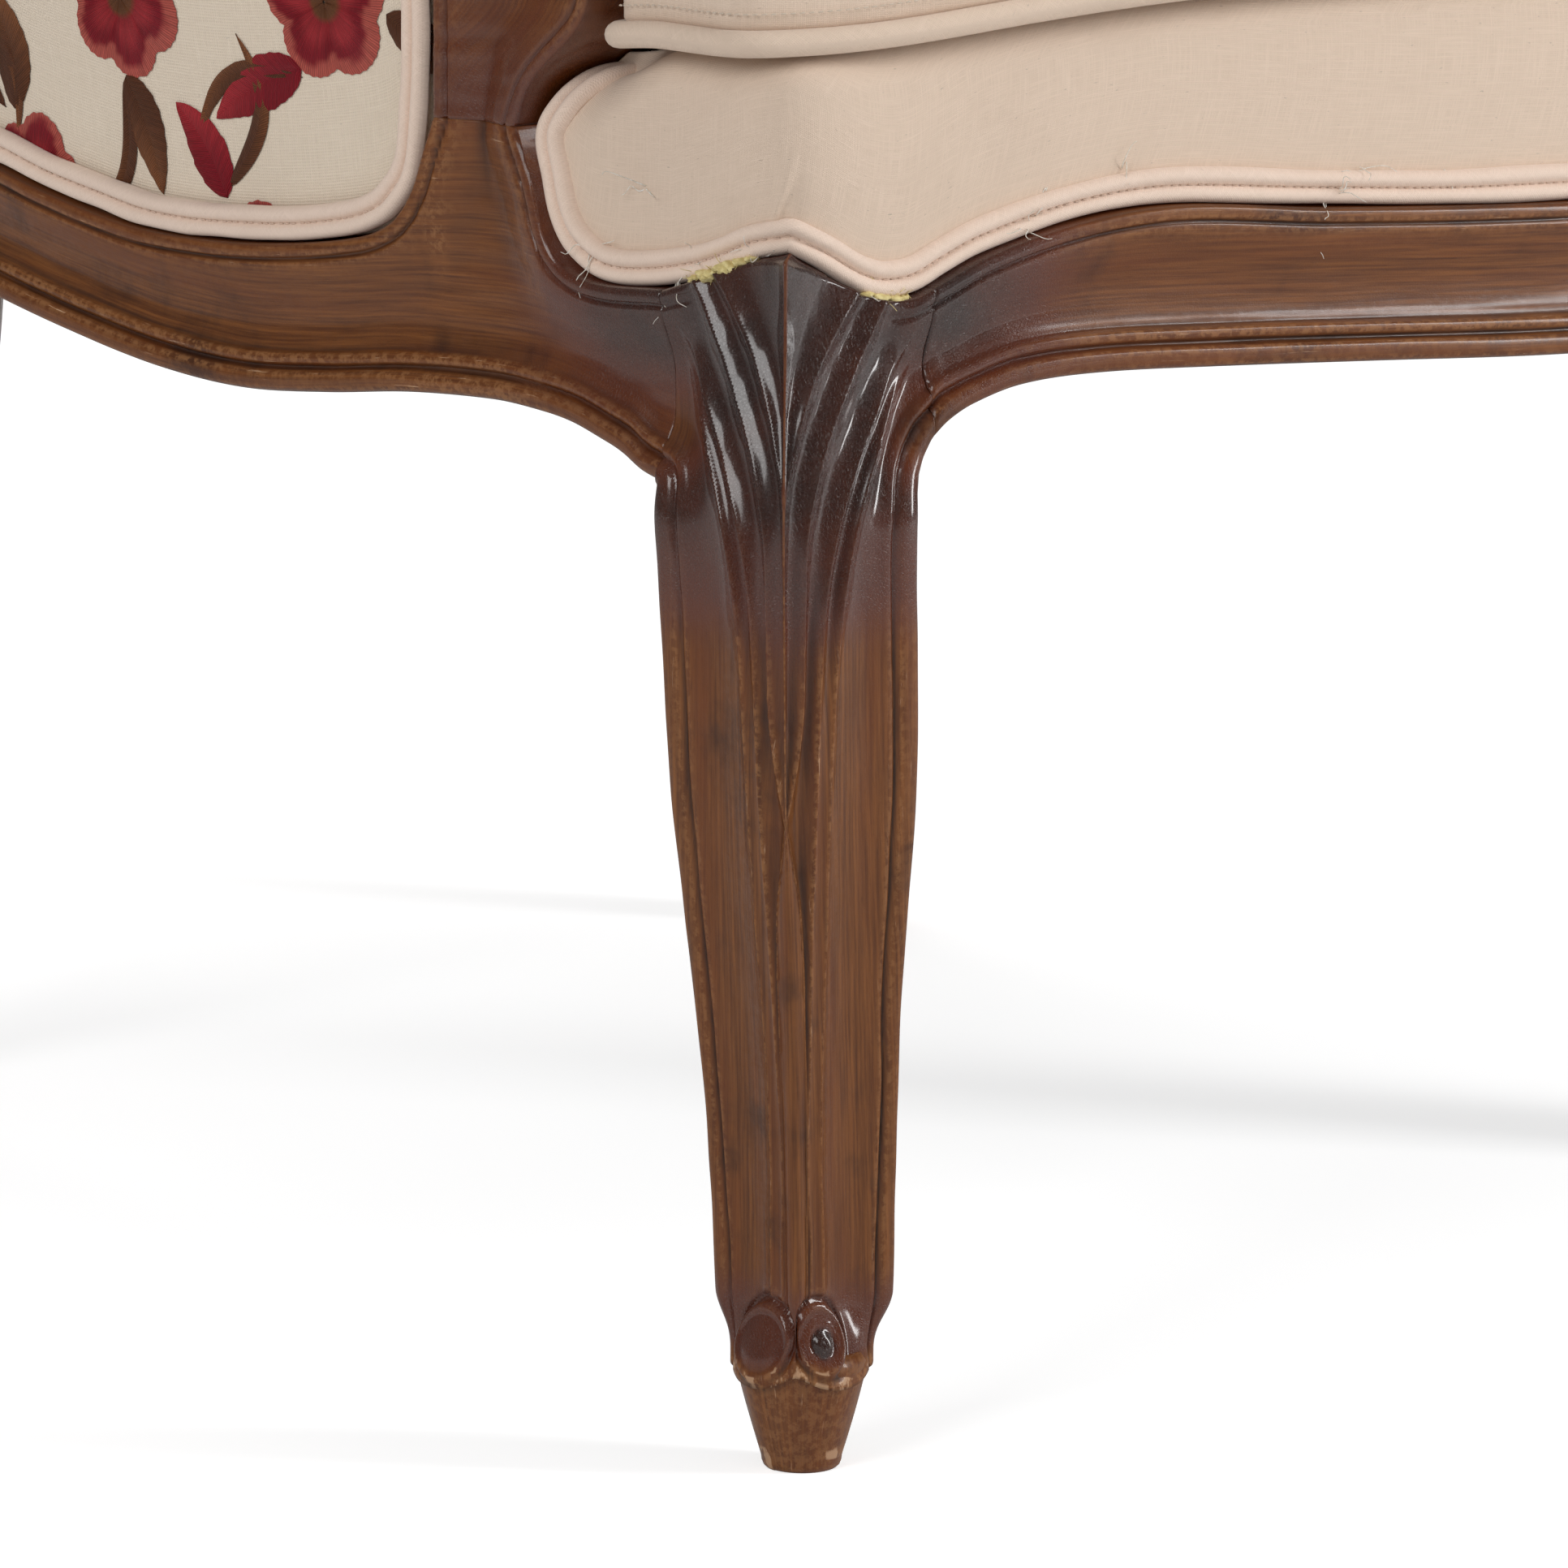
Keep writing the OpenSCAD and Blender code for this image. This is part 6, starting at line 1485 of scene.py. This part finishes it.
def girth_chart(ts, points):
    """Chart of rings that stand at stations: the run along the wall, and round the ring."""
    girth = lengths(points, 1)
    return np.stack([run_of(ts)[:, None] + 0 * girth, girth, 0 * girth], -1) * mm


ts = np.linspace(INSIDE_T, 4 - INSIDE_T, 420)
deep, z_top, z_low = inner_in(ts), top_mid(ts) + COVER_T, DECK_Z + 0.3 + 0 * ts
flat = LINING_IN + 0 * ts
keys = -np.stack([(flat, 4 - z_top), (flat + 1, -z_top), (mix(flat, deep, 0.55), 1.5 - z_top),
                  (mix(flat, deep, 0.93), 17 - z_top), (deep, -mix(z_low, z_top, 0.82)),
                  (deep, -mix(z_low, z_top, 0.4)), (deep, -z_low - 12), (deep - 3, -z_low),
                  (flat, -z_low)]).transpose(2, 0, 1)
places = np.array([0, 0.04, 0.14, 0.24, 0.4, 0.72, 0.93, 0.97, 1.0])
at = np.concatenate([np.linspace(0, 0.3, 40), np.linspace(0.3, 0.9, 50)[1:],
                     np.linspace(0.9, 1, 12)[1:]])
basis = np.stack([curve(np.stack([places, row], -1))(at) for row in np.eye(len(places))], -1)
section = np.einsum("mk,tkc->tmc", basis, keys)
face = ease(at, 0.12, 0.3) * ease(-at, -0.96, -0.8)
soft = 0.9 * wobble(run_of(ts)[:, None] / 40, section[..., 1] / 50, seed=81) + 1.5
pulls = 0.35 * wobble(run_of(ts)[:, None] / 5, seed=82) * np.exp(-np.abs(at - 0.14) / 0.06)
ends_in = ease(half_t(ts), INSIDE_T, INSIDE_T + 0.02)[:, None]
off = section[..., 0] - (soft * face + pulls * (at > 0.04)) * ends_in + (1 - ends_in) * 3 * face
points = wall(ts[:, None], section[..., 1], off)
tub = piece("tub_inside", points, tube_faces(*points.shape[:2]), linen,
            chart=girth_chart(ts, points))
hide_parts("tub_cover", "tub_stuffing")
ts = np.linspace(INSIDE_T, 4 - INSIDE_T, 900)
rise = COVER_T + 0.3 + CORD * np.sqrt(1 + top_slope(ts)**2)
welt("tub_welt_cord", wall(ts, top_mid(ts) + rise, -42.6), level(-plan_out(ts)[1]), "tub_welt",
     seed=57)

# ---------------------------------------------------------------------------------------
# Arm pads: small domes of hair under the cream cloth, each with a double welt round it.
PAD_0, PAD_1, PAD_W, PAD_H = 10 / 18, 1.0, 34.0, 20.0
PAD_MID = (RAIL_OUT - FRAME_IN) / 2
WELT_T = 0.0164    # the pad's welt rests on the higher side of its width


def pad_swell(t):
    """Share of the pad's full width at a station."""
    u = (t - PAD_0) / (PAD_1 - PAD_0)
    return np.sin(np.pi * np.clip(u, 0.04, 0.96))**0.35


for mirror, label in SIDES:
    u = np.linspace(0, 1, 90)
    ts = PAD_0 + (PAD_1 - PAD_0) * u
    closing = np.clip(np.minimum(u, 1 - u) / 0.05, 0, 1)
    k = (pad_swell(ts) * np.sqrt(1 - (1 - closing)**2 * 0.8))[:, None]
    a = np.linspace(0, np.pi, 40)[None, :]
    side = np.sign(np.cos(a)) * np.abs(np.cos(a))**0.55
    uneven = 1 + 0.02 * wobble(run_of(ts)[:, None] / 14, a * 3, seed=91)
    high = np.sin(a)**0.8 * PAD_H * k * uneven
    foot = (top_mid(ts) + top_half(ts))[:, None] + 0.3
    points = wall(ts[:, None], foot + high, PAD_MID + side * PAD_W / 2 * k)
    pad = piece(f"arm_pad_{label}_cloth", points, tube_faces(*points.shape[:2]), ground,
                mirror=mirror, chart=girth_chart(ts, points))
    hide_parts(f"arm_pad_{label}")
    ts = np.linspace(PAD_0, PAD_1, 30)
    to = plan_out(ts)[1]
    on, half = ts + WELT_T, PAD_W / 2 * pad_swell(ts) + 0.6
    high = top_mid(on) + 0.6 + CORD * np.sqrt(1 + top_slope(on)**2) + top_half(on)
    outer = np.concatenate([wall(ts, high, PAD_MID + half), level(to)], 1)
    inner = np.concatenate([wall(ts, high, PAD_MID - half), -level(to)], 1)
    along = np.array([[to[-1, 1], -to[-1, 0], 0], [-to[0, 1], to[0, 0], 0]])
    caps = []
    for t, way, offs in ((PAD_1 + 0.003, along[0], (4.25, -4.25)),
                         (PAD_0 - 0.003, along[1], (-4.25, 4.25))):
        z = (top_mid(t + WELT_T) + 0.6 + CORD * np.sqrt(1 + top_slope(t)**2)
             + top_half(t + WELT_T))
        caps.append(np.stack([np.concatenate([wall(t, float(z), PAD_MID + o), way]) for o in offs]))
    loop = smooth_line(np.concatenate([outer, caps[0], inner[::-1], caps[1]]), 500, True)
    welt(f"arm_pad_welt_cord_{label}", loop[:, :3], loop[:, 3:], f"arm_pad_welt_{label}", loop=True,
         mirror=mirror, seed=58)

# ---------------------------------------------------------------------------------------
# Seat cushion: a loose T-shaped boxed cushion. Linen over a soft filling, crowned on both
# faces, its border drawn in between two lines of fat self piping.
PIPE_R, PIPE_OFF, PIPE_SIDES, SPACING = 3.5, 1.187, 16, 2.4
EAR, EAR_BACK, BODY, BODY_BACK = 299.0, -257.5, 234.27, 209.3
CUSHION_LOW, CUSHION_TOP = 373.99, 477.99


def settle(plan):
    """How far the cushion's underside follows the deck up or down."""
    return dome(plan) - 0.3 * shoulder(plan)


def cushion_outline():
    """Closed outline of the cushion's border, with corners rounded by averaging."""
    x = np.linspace(-EAR, EAR, 900)
    e = np.clip((np.abs(x) - BODY) / (EAR - BODY), 0, 1)
    bow = np.stack([x, front_y(x) + 4.687 + 16 * e**3], -1)
    side = np.array([[EAR, EAR_BACK], [BODY, EAR_BACK], [BODY, WIDEST_Y]])
    a = np.linspace(0, np.pi, 500)[1:-1]
    back = np.stack([BODY * np.cos(a), WIDEST_Y + BODY_BACK * np.sin(a)], -1)
    closed = np.concatenate([bow, side, back, (side * [-1, 1])[::-1], bow[:1]])
    run = lengths(closed, 0)
    at = np.linspace(0, run[-1], int(run[-1] / SPACING), endpoint=False)
    line = np.stack([np.interp(at, run, row) for row in closed.T], -1)
    for _ in range(2):
        line = sum(np.roll(line, k, 0) for k in range(-2, 3)) / 5
    return line


edge = cushion_outline()
n = len(edge)
way = unit(np.roll(edge, -1, 0) - np.roll(edge, 1, 0))
edge_out = np.stack([way[:, 1], -way[:, 0]], -1)
run = np.arange(n) * SPACING
turn = 2 * np.pi * np.arange(n) / n
around = np.stack([np.cos(turn), np.sin(turn)], -1) * n * SPACING / (2 * np.pi)
gather = wobble(around[:, 0] / 3.4, around[:, 1] / 3.4, seed=95, count=16)
slow = wobble(around[:, 0] / 40, around[:, 1] / 40, seed=96)
hub = np.array([0.0, -292.0])
share = 1 - np.linspace(0.99, 0, 64)**1.35
inset = edge - edge_out * 2.6
grid = hub + (inset[None] - hub) * share[:, None, None]
reach = np.full(grid.shape[:2], 1e3)
for k in range(0, n, 2):
    reach = np.minimum(reach, np.hypot(grid[..., 0] - inset[k, 0], grid[..., 1] - inset[k, 1]))
reach = reach * (share < 1)[:, None]
crown = np.sin(np.pi / 2 * np.clip(reach / 120, 0, 1))
near = np.exp(-reach / 11) * ease(reach, 0, 5)
ripple = 0.5 * wobble(grid[..., 0] / 45, grid[..., 1] / 45, seed=97) * crown
ripple = 0.55 * gather * near + ripple
top = CUSHION_TOP + 0.4 * dome(grid) + 10.5 * crown + 2.2 * ease(reach, 0, 26) + ripple
low = CUSHION_LOW + settle(grid) - 4.55 * crown - 0.25 * gather * near
upper = np.concatenate([grid, top[..., None]], -1)
lower = np.concatenate([grid, low[..., None]], -1)[::-1]
levels = np.array([0, 0.012, 0.03, 0.06, 0.10, 0.16, 0.24, 0.34, 0.45, 0.55, 0.66, 0.76, 0.84,
                   0.90, 0.94, 0.97, 0.988, 1])[:, None]
z = mix(CUSHION_TOP + 0.4 * dome(edge), CUSHION_LOW + settle(edge), levels)
fold = np.minimum(levels, 1 - levels) * (CUSHION_TOP - CUSHION_LOW)
draw = 2.4 * (1 - ease(fold, 0, 2.6)) + (2.0 + 0.8 * slow) * np.sin(np.pi * levels)**0.8
draw = draw - 0.8 * ease(fold, 2, 14) - 0.5 * gather * np.exp(-fold / 9) * ease(fold, 0.5, 4)
border = np.concatenate([edge[None] - edge_out[None] * draw[..., None], z[..., None]], -1)
points = np.concatenate([upper[:-1], border, lower[1:]])
chart = points * [1, 1, 0]
banded = slice(len(upper) - 1, len(upper) - 1 + len(border))
chart[banded, :, 0] = run
chart[banded, :, 1] = z
cushion = piece("cushion_boxed", points, tube_faces(*points.shape[:2]), linen,
                body="seat_cushion", chart=chart * mm)
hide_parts("cushion_cover", "cushion_filling")
a = np.linspace(0, 2 * np.pi, PIPE_SIDES, endpoint=False)[None, :]
fat = PIPE_R * (1 - 0.009 * gather[:, None]**2 + 0.025 * slow[:, None])
ring = edge[:, None] + edge_out[:, None] * (PIPE_OFF + fat * np.cos(a))[..., None]
pipes, seams = [], []
for height, up in ((CUSHION_TOP + 0.4 * dome(edge), 1), (CUSHION_LOW + settle(edge), -1)):
    high = (height + up * PIPE_OFF)[:, None] + fat * np.sin(a)
    pipes.append((np.concatenate([ring, high[..., None]], -1),
                  grid_faces(n, PIPE_SIDES, True, True).tolist()))
    at = np.concatenate([edge + edge_out * 0.75, (height - up * 6.2)[:, None]], 1)
    seams.append(dashes(at, level(way), np.broadcast_to([0, 0, 1.0], at.shape),
                        level(edge_out), 1.5, 0.22))
points, faces = joined(*pipes, *seams)
tube, run = 2 * n * PIPE_SIDES, run[:, None]
pipe_chart = np.stack([run + PIPE_R * a, run - PIPE_R * a, 0 * run + 0 * a], -1)
pipe_chart = pipe_chart.reshape(-1, 3) * mm / 2**0.5
piping = piece("cushion_piping_cord", points, faces, linen, body="seat_cushion",
               chart=np.concatenate([pipe_chart, pipe_chart, np.zeros((len(points) - tube, 3))]),
               mark=np.arange(len(points)) >= tube)
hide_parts("cushion_piping")

# ---------------------------------------------------------------------------------------
# Deck cover, with what has worked loose at its welt: frayed ends of white thread, and
# crumbs of wadding. They go with the cloth.
fluff = stock_material("fluff", (0.86, 0.83, 0.78), (0.66, 0.60, 0.50), (900, 900, 900), 0.9)


def fibres(starts, ways, longs, thick, seed, curl=0.9):
    """Thin curled fibres as tubes of five sides."""
    rng = np.random.default_rng(seed)
    m, k = len(starts), 12
    u = np.linspace(0, 1, k)[None, :, None]
    bend = unit(rng.normal(size=(m, 3)))
    other = unit(rng.normal(size=(m, 3)))
    phase = rng.uniform(0, 6, (m, 1, 1))
    longs = longs[:, None, None]
    centre = (starts[:, None] + ways[:, None] * longs * u
              + bend[:, None] * longs * curl * 0.35 * np.sin(3 * u + phase) * u
              + other[:, None] * longs * 0.12 * np.sin(9 * u + phase) * u)
    ahead = unit(np.gradient(centre, axis=1))
    across = unit(np.cross(ahead, [0.3, 0.5, 0.81]))
    up = np.cross(ahead, across)
    a = np.linspace(0, 2 * np.pi, 5, endpoint=False)[None, None, :, None]
    r = thick * (1 - 0.6 * u[..., None])
    tube = centre[:, :, None] + r * (np.cos(a) * across[:, :, None] + np.sin(a) * up[:, :, None])
    return tube.reshape(-1, 3), repeated(tube_faces(k, 5), 5 * k, m)


def deck_point(c, up):
    """Point and outward direction on the deck cover's face, `up` above the show line."""
    at, to, all_c = seat_path(200)
    half = len(at) // 2 + 1
    k = np.argmin(np.abs(all_c[:half][None] - np.atleast_1d(c)[:, None]), 1)
    z = deck_line(all_c[k]) + up
    return np.concatenate([at[k] + to[k] * (CLOTH_FACE + 1.0), z[:, None]], 1), level(to[k])


rng = np.random.default_rng(7)
lint, tufts = [], []
for c, up, count, long in ((-58, 26, 3, 8), (-44, 2, 5, 9), (-40, 4, 6, 7), (-14, 1, 4, 6),
                           (-77, 8, 5, 8), (30, 2, 4, 5), (80, 3, 5, 8), (84, 10, 2, 6),
                           (172, 4, 6, 9), (180, 9, 4, 7), (209, 8, 3, 7), (110, 11, 2, 5),
                           (250, 3, 3, 6)):
    at, to = deck_point(c + rng.normal(0, 1.5, count), up + rng.normal(0, 1.0, count))
    ways = unit(to * 0.5 + rng.normal(size=(count, 3)) * 0.8)
    lint.append(fibres(at + to * 0.2, ways, rng.uniform(0.5, 1.2, count) * long * 1.3, 0.2,
                       c + 500))
for c, count in ((-36, 26), (-28, 34), (-19, 20), (33, 22), (39, 14)):
    at, to = deck_point(c + rng.normal(0, 2.6, count), 0.6 + rng.normal(0, 0.7, count))
    ways = unit(to * 0.6 + rng.normal(size=(count, 3)))
    tufts.append(fibres(at + to * 1.4, ways, rng.uniform(1.5, 4, count), 0.16, c + 900, 2.0))
for c, size in ((-38, 2.2), (-33, 3.0), (-28, 2.4), (-24, 3.3), (-19, 2.2), (-15, 1.6),
                (29, 1.6), (33, 2.3), (38, 2.0), (41, 1.4)):
    at, to = deck_point(c, 0.4)
    a = np.linspace(0.01, np.pi - 0.01, 14)[:, None]
    b = np.linspace(0, 2 * np.pi, 20, endpoint=False)[None, :]
    x, y, z = np.sin(a) * np.cos(b), np.sin(a) * np.sin(b), np.cos(a)
    r = size * (1 + 0.16 * wobble(3 * z, 3 * x, 3 * y, seed=abs(c), size=0.6))
    ball = np.stack([1.5 * r * x, r * y, 0.6 * r * z], -1)
    tufts.append((ball + at[0] + to[0] * 1.5, tube_faces(14, 20)))
points, faces = joined(*lint)
frayed = piece("frayed_threads", points, faces, fluff)
points, faces = joined(*tufts)
crumb = stock_material("crumb", (0.82, 0.70, 0.34), (0.60, 0.48, 0.20), (700, 700, 700), 0.9)
crumbs = piece("wadding_crumbs", points, faces, crumb)
deck = cloth_sheet("deck_cloth", deck_front, deck_back, linen)
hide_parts("deck_cover")
